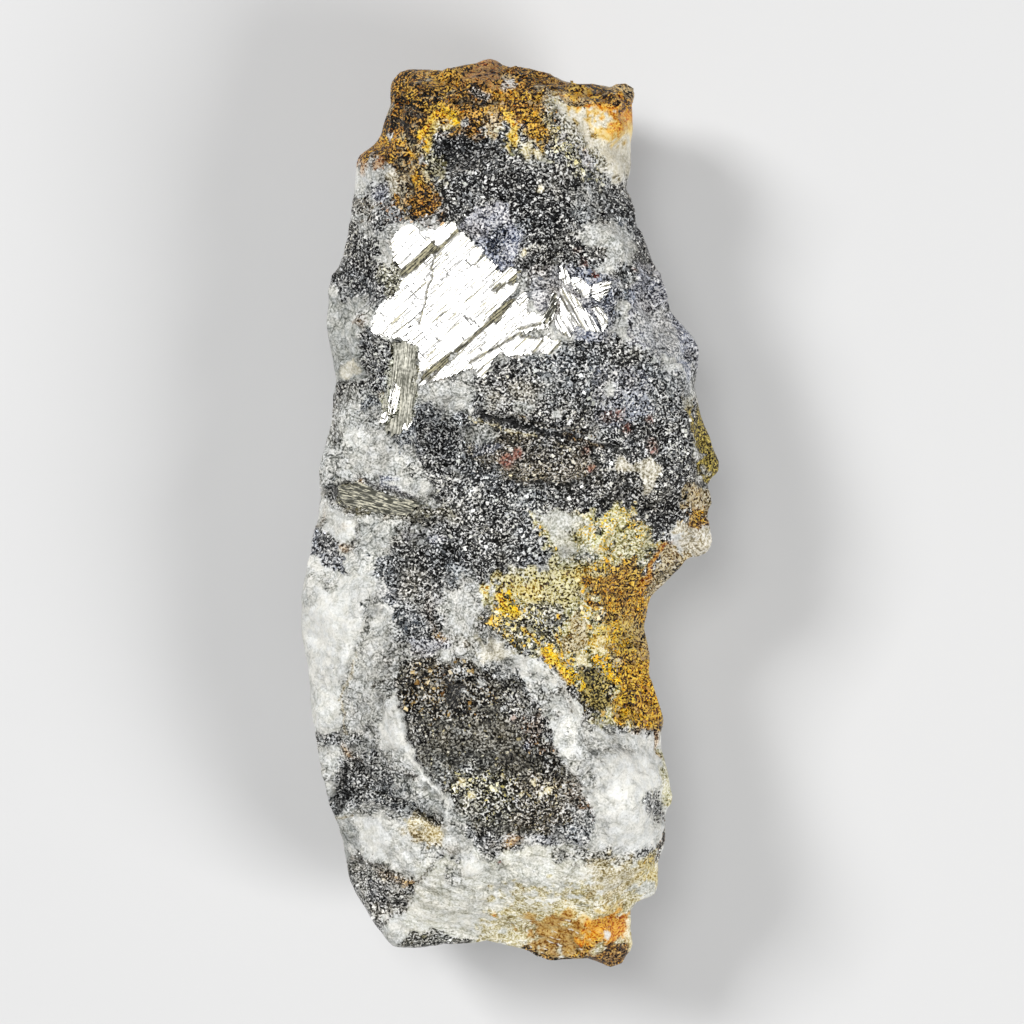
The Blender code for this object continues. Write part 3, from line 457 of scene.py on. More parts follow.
     (-14.8, 0.1), (-15.5, 1)], 0.3),
    ("dark olive", [(-13.8, 2.1), (-12.2, 2), (-11, 1.5), (-11.2, 0.9), (-13, 1.1)], 0.35, 0.8),
    ("dark olive", [(-9.8, 0.6), (-6.2, 0.5), (-5.4, -0.4), (-6.6, -0.9), (-9.2, -0.2)], 0.4, 0.6),
    ("olive fibres", [(-10.4, 15.4), (-8.4, 15.1), (-8.2, 12.8), (-8.3, 11.2), (-8.7, 9.6), (-9.1, 8),
     (-10.6, 7.5), (-11.9, 7.9), (-11.7, 10), (-10.9, 11.8), (-10.5, 13.4)], 0.5, 0.95),
    ("olive fibres", [(-12.2, 22), (-10.6, 23.2), (-9.6, 22), (-9.8, 20.2), (-11.2, 19.2)], 0.5, 0.7),
    # left shoulder
    ("grey quartz", [(-14.8, 0.1), (-10.6, -0.6), (-9.4, -2.2), (-10.4, -3.4), (-13.6, -3.8),
     (-14.8, -2.4)], 0.5, 0.9),
    ("snow quartz", [(-16.5, 0.6), (-15.2, 0.3), (-14.3, -0.4), (-13.7, -0.9), (-14.6, -2.1), (-15.8, -2.6),
     (-16.8, -1.4)], 0.4, 0.75),
    ("smooth grey quartz", [(-13.6, -0.9), (-12.4, -0.4), (-10.6, -1), (-9.8, -2), (-10.8, -3),
     (-12.6, -3.6), (-13.8, -3)], 0.35, 0.75),
    ("blue-dark grains", [(-18.6, -2), (-16.4, -2), (-15.5, -3.2), (-14.8, -4.2), (-14.8, -5.1), (-16, -5.2),
     (-16.8, -4.3), (-18.6, -3.6)], 0.5, 0.7),
    ("lilac quartz", [(-9.6, -1.8), (-6.4, -1.6), (-5.6, -2.6), (-7.8, -3.2), (-9.6, -2.8)], 0.4, 0.7),
    ("dark grains", [(-12.2, -3.9), (-11.2, -3.6), (-10.7, -2.8), (-8.7, -2.9), (-6.8, -2.7), (-5.2, -2.4),
     (-4.5, -3.4), (-5, -5), (-6, -6.2), (-7, -7.5), (-6.5, -8.5), (-6.2, -10), (-7.2, -11.2), (-8.3, -11.5),
     (-9.7, -10.5), (-10.5, -8.6), (-10.3, -7.2), (-11.5, -6.3), (-12.5, -5.5)], 0.5, 0.64),
    ("white quartz", [(-20.5, -5.8), (-16, -5.6), (-13, -5.5), (-12, -6.5), (-12.6, -8.5), (-13.2, -9.8),
     (-13.8, -11.2), (-14.2, -12.5), (-15, -14.8), (-15.5, -16.5), (-15, -18.5), (-15.5, -20.2),
     (-19.5, -20.5)], 0.4),
    ("snow quartz", [(-18.6, -8.6), (-15, -7.8), (-14, -10.4), (-15.6, -13.8), (-17.6, -14.4)], 1, 0.7),
    ("grey quartz", [(-13, -7.4), (-11.6, -7.6), (-10.4, -9.6), (-9, -11.8), (-10.4, -13.6), (-10.9, -16),
     (-11.8, -19), (-13, -20.7), (-14.3, -20.2), (-14.9, -18.3), (-15.5, -16.8), (-14.4, -14),
     (-13.4, -11)], 0.35, 0.9),
    ("white quartz", [(-12.6, -9.4), (-10.8, -10.2), (-11, -12.2), (-12.6, -12.6)], 0.6, 0.6),
    ("white quartz", [(-14.2, -11.2), (-12, -11), (-11.4, -14), (-12.2, -18.6), (-13.8, -19.6),
     (-14.8, -17.4)], 0.6, 0.5),
    ("snow quartz", [(-12.2, -19), (-11.2, -17.6), (-10.7, -16.9), (-9.9, -18.5), (-9.5, -20.9),
     (-11.2, -21.2)], 0.3, 0.85),
    ("lilac quartz", [(-9.6, -11.2), (-7, -11), (-5.5, -11.8), (-6.6, -12.8), (-9, -12.8)], 0.4, 0.8),
    ("grey quartz", [(-6.3, -6.2), (-4.3, -5.4), (-3, -5.6), (-2.4, -7.5), (-2.2, -9.5), (-0.6, -11.5),
     (1.5, -12.8), (3, -14.2), (2.4, -15.6), (-0.2, -14.4), (-3.2, -13.4), (-5.2, -12.6), (-5.8, -10.4),
     (-6.4, -8.4)], 0.6, 0.85),
    ("white quartz", [(-5.8, -6.8), (-3.2, -6.4), (-2.6, -8.8), (-4, -11), (-5.6, -10.2)], 0.8, 0.5),

    # the stained ground on the right
    ("pale yellow", [(2, -0.4), (7.5, 0.2), (10.5, 0.4), (11.6, -1), (13.2, -2.8), (12.6, -5), (12.2, -6.6),
     (13.4, -8), (14, -10), (14, -13), (14.6, -18), (13.6, -19.2), (11, -19.6), (9.5, -19.2), (7.3, -19),
     (6.5, -17.2), (5.8, -15.8), (4.7, -15), (4, -13.8), (2.5, -13), (0.5, -12.5), (-0.8, -11.2),
     (-1.6, -9.8), (-2.4, -8), (-2, -6.3), (0.6, -5), (3.6, -4.6), (3.4, -2.4)], 0.7, 0.9),
    ("pale yellow", [(4, 0), (10.5, 0.2), (11.4, -1.2), (9.4, -2.6), (6.6, -2.4), (4.6, -3),
     (3.6, -1.4)], 0.6, 0.9),
    ("grey quartz", [(4.6, -3.2), (7.4, -3), (8.2, -4.2), (6, -5), (4.2, -4.4)], 0.7, 0.6),
    ("cream worms", [(-2.4, -6.2), (-0.4, -5), (3.6, -4.4), (7, -4.6), (7.4, -6.6), (6.6, -8.2), (3.8, -8.9),
     (2.4, -8.4), (0.8, -7.4), (-1.4, -7.6)], 0.8, 0.9),
    ("yellow stain", [(5.6, -4), (8.6, -4.2), (9, -6.4), (7, -7), (5.6, -6)], 0.8, 0.6),
    ("yellow stain", [(-0.6, -6), (2.6, -6), (2.8, -8.2), (0.8, -8.4)], 0.7, 0.3),
    ("ochre clumps", [(-1.5, -6.9), (-0.6, -6.8), (0.6, -7.8), (1.4, -9), (0.6, -9.8), (-0.6, -9.2),
     (-1.6, -8.2)], 0.4, 0.95),
    ("coarse olive grains", [(-1.6, -8.6), (-0.4, -9.4), (0.8, -9.2), (1.4, -8), (3.2, -8.4), (5.6, -8.8),
     (5.8, -10), (4.6, -12.4), (3.2, -12.8), (0.6, -12.2), (-1.4, -10.8)], 0.6, 0.85),
    ("ochre clumps", [(-2, -9), (-1.2, -9.2), (-0.2, -10.8), (1.8, -12.4), (1, -12.8),
     (-1, -11.2)], 0.5, 0.6),
    ("pale yellow", [(4.6, -9.4), (6.4, -8.6), (8.2, -9), (8.6, -12), (7.4, -13.8), (6, -13.4),
     (4.6, -11.8)], 0.5, 0.8),
    ("beige quartz", [(4.8, -9.6), (6.6, -9.2), (7.4, -11.8), (5.6, -12.4), (4.8, -11.4)], 0.5, 0.8),
    ("gold brown", [(7.2, -4.8), (9.6, -3.6), (12.4, -4.6), (12.4, -6.8), (13.8, -8), (14.2, -13),
     (14.8, -18.8), (12.8, -19.6), (10.4, -19.2), (9, -16.6), (8.8, -13.2), (8.6, -10), (7.4, -8),
     (6.8, -6)], 0.9, 0.9),
    ("amber brown", [(7.4, -6.2), (9.4, -5.2), (11.2, -6.6), (10.8, -9.4), (9.4, -8.6),
     (8, -7.6)], 1.4, 0.6),
    ("yellow stain", [(9, -9.6), (10.6, -9.4), (11.6, -11.4), (10.6, -13.8), (9.2, -12.4)], 0.8, 0.6),
    ("beige quartz", [(10.6, -10), (13, -9.4), (13.6, -13), (11.8, -13.6), (10.4, -12)], 0.8, 0.5),
    ("gold stain", [(9.6, -12.6), (12.6, -13.6), (14.4, -18.6), (12.6, -19.4), (10.6, -18.2),
     (9, -15.2)], 0.8, 0.75),
    ("dark brown grains", [(5.5, -14), (7.6, -13.8), (9.3, -15.2), (9.2, -17), (8, -18.6), (7, -18.4),
     (6.2, -16.8)], 0.5, 0.85),
    ("yellow green", [(5.9, -14.4), (7.6, -14.2), (9.1, -15.4), (8.8, -17.2), (7.6, -18.4),
     (6.4, -16.8)], 0.5, 0.45),
    ("ochre clumps", [(7.4, -13), (9.4, -13), (9.8, -15.2), (8.6, -15), (7.6, -14)], 0.5, 0.8),
    ("ochre clumps", [(2.8, -12.2), (4, -12.2), (5.6, -13.4), (6, -15.6), (5, -15.4), (3.8, -13.8),
     (2.8, -13)], 0.4, 0.95),
    ("ochre clumps", [(9.8, -16.2), (11, -16), (12, -18.6), (10.8, -18.8)], 0.5, 0.6),
    ("pale yellow", [(7.5, -8.9), (8.4, -9), (8.5, -10.2), (7.6, -10.3)], 0.3, 0.9),
    ("cream", [(7.5, -11.1), (8.8, -11.2), (8.6, -12.5), (7.6, -12.5)], 0.3, 0.8),
    ("cream", [(6, -12.4), (7.2, -12.5), (7.3, -13.7), (6.3, -13.8)], 0.3, 0.8),
    ("pale block quartz", [(-3, -11.2), (-0.8, -11.4), (0.6, -12.7), (0.2, -13.6), (-2.8, -13.4)], 0.7, 0.7),

    # white quartz of the lower right
    ("white quartz", [(-0.4, -12.9), (2.5, -13.2), (4.2, -14.2), (5, -15.5), (6.3, -17), (6.7, -19),
     (9.4, -19.6), (12.4, -19.8), (14.6, -19.4), (15.4, -24), (15, -30.6), (7.4, -30.2), (7.6, -27),
     (6.4, -24.4), (5, -22.6), (3.6, -20.4), (2.8, -17.2), (0.8, -14.8)], 0.5),
    ("smooth grey quartz", [(1.6, -14.2), (3.8, -14.8), (4.8, -16.6), (4.4, -18.6), (3.4, -19.2),
     (2.4, -17)], 0.4, 0.7),
    ("brown grains", [(1.8, -14.6), (3.8, -14.8), (4.6, -16.8), (3.8, -18.2), (2.6, -16.8)], 1, 0.3),
    ("snow quartz", [(8.4, -21.4), (12.4, -21.6), (13.2, -25), (9.2, -26), (7.8, -23.6)], 0.8, 0.9),
    ("snow quartz", [(8.8, -26.6), (12.6, -26.2), (12.4, -29.8), (8.8, -29.8)], 0.8, 0.8),
    ("grey quartz", [(5.2, -22.2), (7.4, -21.8), (7.8, -24), (6.4, -24.6)], 0.5, 0.6),
    ("grey quartz", [(5, -18.4), (7.6, -19.4), (8.6, -20.8), (6.4, -21.2), (4.4, -20.4)], 0.7, 0.5),
    ("pale yellow", [(13, -21.6), (15.6, -21.6), (15.6, -26.4), (13.4, -26.4)], 0.4, 0.6),
    ("speckled grains", [(12.2, -25), (13.2, -25), (13.8, -27.6), (12.8, -27.8)], 0.8, 0.6),

    # bottom left
    ("white quartz", [(-18.5, -20.8), (-15.4, -21), (-14.9, -22.2), (-18, -22.8)], 0.4, 0.8),
    ("speckled grains", [(-18.4, -19.8), (-15.2, -19.9), (-15, -20.9), (-18.2, -20.9)], 0.3, 0.6),
    ("speckled grains", [(-15.2, -22), (-13.6, -21.2), (-12.2, -22.2), (-10.6, -22.6), (-9.8, -24.4),
     (-7.4, -25.6), (-6, -27), (-6.4, -27.8), (-9, -27.2), (-12, -26), (-14.2, -26.4), (-16.8, -27.2),
     (-16, -25)], 0.5, 0.75),
    ("dark grains", [(-15, -22.6), (-13.4, -22.4), (-12.8, -24.2), (-14.4, -25.4), (-15.4, -26.6),
     (-15.6, -25)], 0.5, 0.7),
    ("smooth grey quartz", [(-11, -23.4), (-7, -24.4), (-5, -27), (-6.5, -27.5), (-9, -26.4)], 0.5, 0.75),
    ("snow quartz", [(-16.4, -24), (-15.7, -23.9), (-15.3, -25.2), (-16.2, -25.6)], 0.25, 0.9),
    ("white quartz", [(-14.4, -26.8), (-12.5, -27), (-9.5, -27.8), (-8, -28.6), (-7.6, -30.6), (-9, -33),
     (-10.5, -31.3), (-12.3, -31), (-13.7, -29.5)], 0.5, 0.9),
    ("snow quartz", [(-14, -27.2), (-11.6, -27.6), (-10.8, -29.4), (-10.9, -31), (-12.6, -30.4)], 0.5, 0.8),
    ("smooth grey quartz", [(-17.4, -27.2), (-14.4, -27.2), (-13.6, -29), (-14, -30.8),
     (-17, -30.8)], 0.2, 1),
    ("beige quartz", [(-9.6, -27.2), (-7, -27.4), (-5.8, -28.4), (-6.8, -29.8), (-8.8, -29.2)], 0.4, 0.8),
    ("cream", [(-10, -27.3), (-8, -27.5), (-6.3, -27.9), (-6.2, -28.9), (-7.3, -29.5), (-8, -28.8),
     (-9.5, -27.9)], 0.4, 0.6),
    ("speckled grains", [(-16.4, -31.5), (-12.5, -31.2), (-10.4, -31.8), (-9.6, -33), (-9.1, -34.8),
     (-9.3, -36), (-10.5, -36.2), (-11.5, -37.4), (-13.4, -37.6), (-15.4, -34.5)], 0.5, 0.65),
    ("blue-dark grains", [(-13.2, -33), (-11.4, -32.8), (-10.8, -34.4), (-12, -35.4),
     (-13.2, -34.6)], 0.7, 0.5),
    ("streaky quartz", [(-8.6, -31.2), (-6, -30.6), (-4.4, -31.2), (-1.8, -31), (1.6, -30), (6.4, -30),
     (9, -30.8), (14.4, -31), (13.6, -34.6), (11.6, -41.5), (6, -41), (-2, -39.4), (-9.6, -39.4),
     (-9.8, -36.4), (-8.9, -33.6)], 0.6, 0.92),
    ("snow quartz", [(-4, -31.2), (-3.2, -30.9), (-2.2, -31.3), (-1.9, -31.9), (-2.9, -32.2),
     (-4.2, -32.4)], 0.3, 0.55),
    ("brown grains", [(4, -30.5), (8, -30.5), (12.6, -31.2), (12.4, -32), (8, -32), (4.4, -31.4)], 0.8, 0.4),
    ("smooth grey quartz", [(-2, -31.6), (3, -31.4), (3.6, -33.6), (-1.6, -34.4)], 1.2, 0.35),
    ("honey", [(-9.8, -27.6), (-7, -27.6), (-5.8, -28.6), (-7.2, -29.7), (-9, -28.9)], 0.5, 0.35),
    # bottom right: the quartz turns olive, gold and amber
    ("olive quartz", [(-1, -34.2), (5, -33.8), (11.4, -33.4), (12.4, -34.6), (11.8, -41), (6, -41),
     (2, -40.2), (-2, -38.9)], 1.4, 0.85),
    ("amber", [(10.4, -15.8), (12.6, -15.8), (12.8, -18.4), (10.8, -18.4)], 0.8, 0.3),
    ("brown grains", [(12.8, -4.6), (15.2, -4.6), (15.2, -6.6), (13, -6.6)], 0.8, 0.35),
    ("olive quartz", [(7.8, -31.4), (12.6, -31.4), (14.4, -33.4), (9, -33.2)], 0.7, 0.7),
    ("yellow stain", [(11.3, -30.8), (14.6, -30.8), (14.4, -33.2), (11.8, -33)], 0.6, 0.5),
    ("yellow glaze", [(2, -36.2), (9.4, -35.2), (10.4, -38.6), (6, -39.6), (2.6, -38.8)], 1.4, 0.45),
    ("smooth amber", [(1.6, -37), (6.4, -36.2), (8.4, -39), (5.4, -40.2), (2, -39.4)], 1.1, 0.8),
    ("orange glaze", [(7, -36.3), (10.2, -35.8), (10.5, -38.4), (8, -38.9), (6.4, -38)], 0.6, 0.85),
    ("cream", [(9.9, -36.4), (12, -35.6), (12, -39.6), (10, -39.2)], 0.4, 0.75),
    # dark brown under the foot: partly its own brown, partly painted shade of the underside
    ("amber brown", [(6.6, -38.9), (10.2, -38.7), (11.2, -40.4), (9, -42), (6, -40.8)], 0.35, 0.9),
    # a painted highlight: a small white square on the amber of the foot
    ("snow quartz", [(8.3, -37.6), (8.9, -37.6), (8.9, -38.2), (8.3, -38.2)], 0.15, 0.9),
    ("dark olive", [(-11.6, -38.3), (-9, -37.9), (-6.5, -37.5), (-5.5, -37.9), (-3.4, -38.2), (-3.4, -39.6),
     (-12, -40)], 0.25, 0.8),
    # painted shade of the foot's underside, laid in the dark rust finish
    ("dark rust", [(1.4, -39.2), (3.3, -39.5), (5.4, -39.6), (5.2, -41), (1.4, -41)], 0.3, 0.75),
    # smaller pieces seen between the wide grounds
    ("grey quartz", [(2.1, -0.2), (3.6, 0.7), (5.2, 0.4), (7.2, -0.6), (5.6, -1.6), (4.6, -2.2),
     (3.4, -1.6)], 0.35, 0.6),
    ("white quartz", [(2.8, -0.3), (4, 0.4), (6.4, -0.4), (5.2, -1.4), (5.8, -3.2), (4.2, -3.9),
     (3.6, -1.8)], 0.4, 0.7),
    ("white quartz", [(-12.8, -8.4), (-11.2, -8), (-10.5, -9.4), (-11.3, -10.6), (-12.4, -10.2)], 0.4, 0.85),
    ("smooth grey quartz", [(-4.6, 7.6), (-2.4, 8), (-0.6, 7.3), (-1.2, 6.3), (-3, 6.1),
     (-4.2, 6.6)], 0.4, 0.75),
    ("dark grains", [(-6.4, 29.2), (-4.2, 29.6), (-3.6, 28.2), (-4.6, 26.9), (-6, 27.2)], 0.6, 0.8),
    ("dark rust", [(-11.6, 27.8), (-8.2, 27.6), (-6.4, 26.3), (-7.9, 25.8), (-9, 26.2), (-10.2, 26),
     (-11.3, 25.6)], 0.35, 0.6),
    ("grey quartz", [(5.2, -26.3), (7, -26.8), (7.8, -28.4), (6.9, -29.6), (5.6, -28.6)], 0.6, 0.8),
    ("white quartz", [(-12.5, 25.3), (-11.2, 25.6), (-10.7, 23.9), (-11.1, 22.1), (-12.1, 22.7)], 0.4, 0.9),
    ("brown grains", [(-14.2, 28.8), (-12.6, 28.4), (-12.4, 27), (-13.9, 27.1)], 0.6, 0.85),
    ("cream", [(0.7, 33.7), (2.2, 33.4), (2.7, 32.2), (1.2, 31.9)], 0.5, 0.65),
    ("gold brown", [(-2.9, 36.8), (-0.9, 37), (-0.5, 35.2), (-1.5, 34), (-2.6, 35)], 0.6, 0.5),
    ("gold brown", [(-7.8, 36.8), (-5.9, 37), (-5.6, 35.8), (-7.3, 35)], 0.5, 0.7),
    ("grey quartz", [(13.6, 14.4), (15.2, 14), (16, 12), (14.6, 10.7), (13.4, 11.8)], 0.6, 0.8),
    ("white quartz", [(-6, -28), (-4.6, -27.8), (-3.4, -29.2), (-2.6, -30.6), (-4.4, -31.2),
     (-5.9, -30.6)], 0.5, 0.8),
    ("grey quartz", [(2.4, 12.1), (4.6, 12.8), (5.7, 11.8), (4.9, 10.8), (2.7, 11)], 0.4, 0.6),
    ("white quartz", [(-11.2, 2.7), (-9.2, 3.4), (-7.2, 2.6), (-7.6, 1.6), (-9.2, 1.9)], 0.35, 0.8),
    ("dark grains", [(8.9, 20.5), (10.4, 20.8), (10.6, 19.4), (9.3, 18.9)], 0.5, 0.6),
    ("speckled grains", [(7, 23.8), (8.4, 24), (8.9, 22.8), (7.6, 22.2)], 0.5, 0.7),
    ("grey quartz", [(-2.8, -13.5), (-0.6, -13.3), (1, -13.8), (0.4, -15), (-1.6, -14.9)], 0.4, 0.8),
    ("speckled grains", [(-15.7, 20.4), (-14.4, 20.8), (-13.7, 19.6), (-14.9, 18.9)], 0.5, 0.75),
    ("dark grains", [(-7.8, -0.6), (-6.2, -0.3), (-5.4, -1.4), (-6.8, -2.1)], 0.5, 0.7),
    ("honey", [(7.2, -31.4), (11.2, -31.4), (11, -33.6), (8.6, -34.6), (7, -33.8)], 0.8, 0.6),
    ("grey quartz", [(-9.2, -2.2), (-7.8, -1.9), (-7.1, -3), (-8.4, -3.7)], 0.5, 0.9),
    ("grey quartz", [(-10.9, -24.8), (-9.4, -24.4), (-8.7, -25.8), (-10.1, -26.5)], 0.5, 0.95),
    ("cream worms", [(-7.4, 31.8), (-6, 32.1), (-5.7, 30.8), (-7, 30.3)], 0.5, 0.5),
    ("grey quartz", [(-6, 8.8), (-4.7, 9.3), (-4.1, 8.2), (-5.2, 7.7)], 0.5, 0.6),
    ("grey quartz", [(-5.9, 3.9), (-4.8, 4.5), (-4, 3.3), (-5.2, 2.7)], 0.5, 0.6),
    ("white quartz", [(13.8, 14.6), (15, 14.2), (15.5, 13), (14.1, 12.6)], 0.3, 0.8),
    ("yellow stain", [(7.2, -10), (8.8, -10.3), (9, -11.8), (7.5, -11.9)], 0.5, 0.5),
    ("pale yellow", [(7, -3.6), (8.8, -3.7), (9, -5.2), (7.3, -5.4)], 0.6, 0.6),
    ("grey quartz", [(-6.1, -5.4), (-5, -4.4), (-3.9, -4.9), (-3.6, -6.6), (-5.6, -7.1)], 0.6, 0.65),
    ("grey quartz", [(-3.2, 11.2), (-1.3, 11.4), (-0.5, 9.7), (-2.3, 9)], 0.6, 0.6),
    ("grey quartz", [(-7.5, 9.3), (-5.9, 9.4), (-5.5, 8), (-7.1, 7.6)], 0.6, 0.5),
    ("dark rust", [(-9.1, 35.1), (-7.8, 35.4), (-7.4, 34), (-8.6, 33.4)], 0.5, 0.6),
    ("honey", [(-10.8, 30.4), (-9.4, 30.6), (-9.1, 29), (-10.4, 28.8)], 0.6, 0.6),
    ("grey quartz", [(-14.3, -31.1), (-12.4, -31), (-12.1, -32.6), (-13.7, -33)], 0.5, 0.75),
    ("grey quartz", [(-12.7, -21.5), (-11, -21.4), (-10.5, -22.9), (-12.1, -23.3)], 0.5, 0.7),
    ("grey quartz", [(3.4, -28), (5.4, -27.9), (5.8, -29.5), (4, -29.9)], 0.5, 0.7),
    ("grey quartz", [(-0.9, -3.7), (0.7, -3.9), (0.9, -5.2), (-0.6, -5.3)], 0.5, 0.6),
    ("grey quartz", [(-5.9, -31.3), (-4.5, -31.5), (-4.1, -32.7), (-5.5, -32.9)], 0.4, 0.7),
    ("grey quartz", [(-17.2, -5.4), (-15.8, -5.3), (-15.4, -6.7), (-16.8, -7)], 0.4, 0.7),
    ("coarse olive grains", [(3.6, 36.6), (4.9, 36.2), (6.4, 34), (8, 32), (9.4, 30.4), (8, 30), (5.4, 32.6),
     (4, 34.6)], 1, 0.45),
]]

# Bright antimony: flat cleavage slabs in steps. Each has an outline, the way its lamellae run in
# degrees, the length of its steps, how olive it is, how much it crumbles, how far it is lifted, and
# how ragged its outline is.
Cleavage = namedtuple("Cleavage", "corners turn step olive crumbs lift ragged", defaults=(0.0, 0.12))
CLEAVAGES = [Cleavage(*row) for row in [
    ([(-9.3, 26.1), (-7.2, 25.6), (-5, 26.5), (-4.7, 25.6), (-3.6, 24.9), (-2.8, 23.9), (-1.3, 22.4),
     (-0.9, 21.7), (0, 22.3), (1.1, 21.9), (0.5, 21.2), (1.6, 19.5), (1.5, 18.2), (3, 17.8), (3.2, 16.8),
     (1.5, 16.2), (0.8, 16.1), (2.8, 16), (4.8, 15.7), (4.5, 14.9), (3.6, 14.2), (2.4, 14.4), (0.2, 14),
     (-0.9, 14.2), (-1.5, 13.9), (-2, 12.9), (-2.3, 12), (-3.1, 12.2), (-3.1, 13), (-4.2, 12.9),
     (-5.5, 12.2), (-7.5, 11.6), (-8.3, 11.4), (-8, 12.5), (-8.3, 13.2), (-8.4, 14.8), (-10, 15.6),
     (-11.5, 15.9), (-12.6, 16.5), (-12.4, 17.6), (-12, 18.6), (-11.4, 19.3), (-10, 20.1), (-9.9, 22),
     (-10.7, 23), (-10.9, 24.6), (-10.3, 25.5)], 42, 4, 0, 0, 0, 0.2),
    # the blade of the second patch, and the splinters that fan out round its head
    ([(4.2, 20.2), (4.9, 20.4), (6, 19.4), (6.8, 18.4), (7.6, 17.4), (8.1, 16.2), (7, 16.3), (6.1, 16.9),
     (5.3, 15.8), (4.4, 16.2), (3.9, 17), (4.4, 18.4)], -62, 1.8, 0, 0),
    ([(2.6, 17.4), (3.4, 18.8), (3.7, 20.1), (4.2, 20), (4.3, 18.6), (3.8, 17.2),
     (3.3, 16.4)], 60, 1.4, 0.2, 0.8),
    ([(4.5, 22.7), (5.2, 21.9), (5.5, 20.8), (4.9, 20.5), (4.3, 21.2)], 100, 1.2, 0.1, 0.35),
    ([(5.5, 21.4), (6.6, 21.2), (7.3, 20.3), (6.9, 19.2), (6.2, 19.7), (5.4, 20.6)], 35, 1.2, 0.1, 0.3),
    ([(7.3, 20.6), (9.2, 21), (8.9, 19.9), (8, 19), (7.2, 19.6)], 20, 1.2, 0.2, 0.55),
    ([(7.2, 18.7), (8.2, 18.6), (8.9, 17.4), (8.3, 16.2), (7.8, 17.4)], -50, 1.2, 0.2, 0.3),
    ([(2.2, 15.5), (3.6, 16.4), (3.4, 15.7), (2.8, 15.2)], 60, 1.2, 0.1, 0.3),
    # the striated strip under the bright face, and the blade at the left of the middle
    ([(-10.5, 15.5), (-8.6, 15.2), (-8.3, 13), (-8.4, 11.2), (-8.7, 9.6), (-9.2, 7.6), (-10.3, 7),
     (-11.5, 7.4), (-11.6, 9.2), (-11.1, 11.4), (-10.6, 13.4)], 83, 3, 1, 0.2, -0.05, 0.25),
    ([(-15.6, 2.2), (-14.6, 2.8), (-13.4, 2.9), (-12.4, 2.4), (-11.2, 1.8), (-9.6, 1.4), (-8.2, 0.9),
     (-8.6, 0), (-10.2, -0.2), (-12.6, 0.2), (-14.4, 0.5), (-15.3, 1.2)], -14, 3, 0.36, 0.68, -0.05, 0.3),
    ([(-10.6, 11.9), (-9.9, 12.1), (-9.9, 10.6), (-10.4, 9), (-11.1, 8.7),
     (-11, 10.2)], 76, 2, 0.15, 0.5, 0.42, 0.02),
    ([(-9.5, 8.4), (-9, 9), (-8.7, 8.4), (-9.2, 7.5), (-9.8, 7.5)], 55, 1, 0, 0, 0.42, 0.03),
    ([(-11.6, 9), (-11.1, 9.3), (-10.9, 8.6), (-11.3, 8), (-11.8, 8.2)], 76, 1, 0.1, 0.2, 0.42, 0.03),
]]
# Where the foot of the long crack crumbles into grains.
CRUMBLED = [
    (-10.6, 17), (-9.4, 17.6), (-8.4, 18.6), (-7.7, 17.6), (-7.2, 16.2), (-7.6, 15), (-9.2, 14.4),
    (-10.8, 15.4),
]
# Gaps between the lamellae, filled with olive grains: their run, their width and how deep they lie.
GAPS = [
    ([(-9.8, 21.6), (-8.6, 22.6), (-7.7, 23.4), (-6.9, 24.1)], 0.7, 0.22),
    ([(-6.9, 23.5), (-5.8, 24.5), (-4.7, 25.6)], 0.34, 0.12),
    ([(-8.5, 11.9), (-7.4, 12.6), (-6.3, 13.3), (-5.2, 14.2)], 0.8, 0.26),
    ([(-5.2, 14.2), (-3.4, 15.9), (-1.6, 17.4)], 0.24, 0.16),
    ([(-1.4, 17.6), (-0.4, 18.7), (0.5, 19.7), (1.1, 20.5)], 0.7, 0.22),
    ([(0.2, 20.9), (0.9, 21.7), (1.4, 22.4)], 0.6, 0.2),
    ([(-6.7, 23.3), (-7.1, 22.2), (-7, 21.2), (-7.5, 20.2), (-7.6, 19.2), (-7.9, 18.2),
     (-8.2, 17.2)], 0.05, 0.05),
    ([(-3.6, 13.6), (-1.4, 14.9), (0.8, 16.2)], 0.12, 0.08),
    ([(0.9, 16), (2, 15.9), (2.9, 15.9)], 0.14, 0.08),
    ([(0.9, 16.6), (1.8, 16.9), (2.7, 17)], 0.14, 0.08),
    ([(-1.6, 20.3), (-0.9, 20.7)], 0.2, 0.1),
    ([(-1.3, 20), (-0.5, 20.7)], 0.2, 0.1),
    ([(2.1, 14.6), (2.9, 15.6)], 0.15, 0.1),
    ([(3.5, 14.2), (4.2, 15), (4.9, 16.1)], 0.22, 0.15),
    ([(3.2, 17.2), (3.7, 18.4), (4.1, 19.8)], 0.14, 0.12),
    ([(4.4, 19.9), (5.4, 18), (6.2, 16.8)], 0.05, 0.05),
    ([(4.7, 19.9), (5.8, 18.2), (6.7, 16.6)], 0.05, 0.05),
]

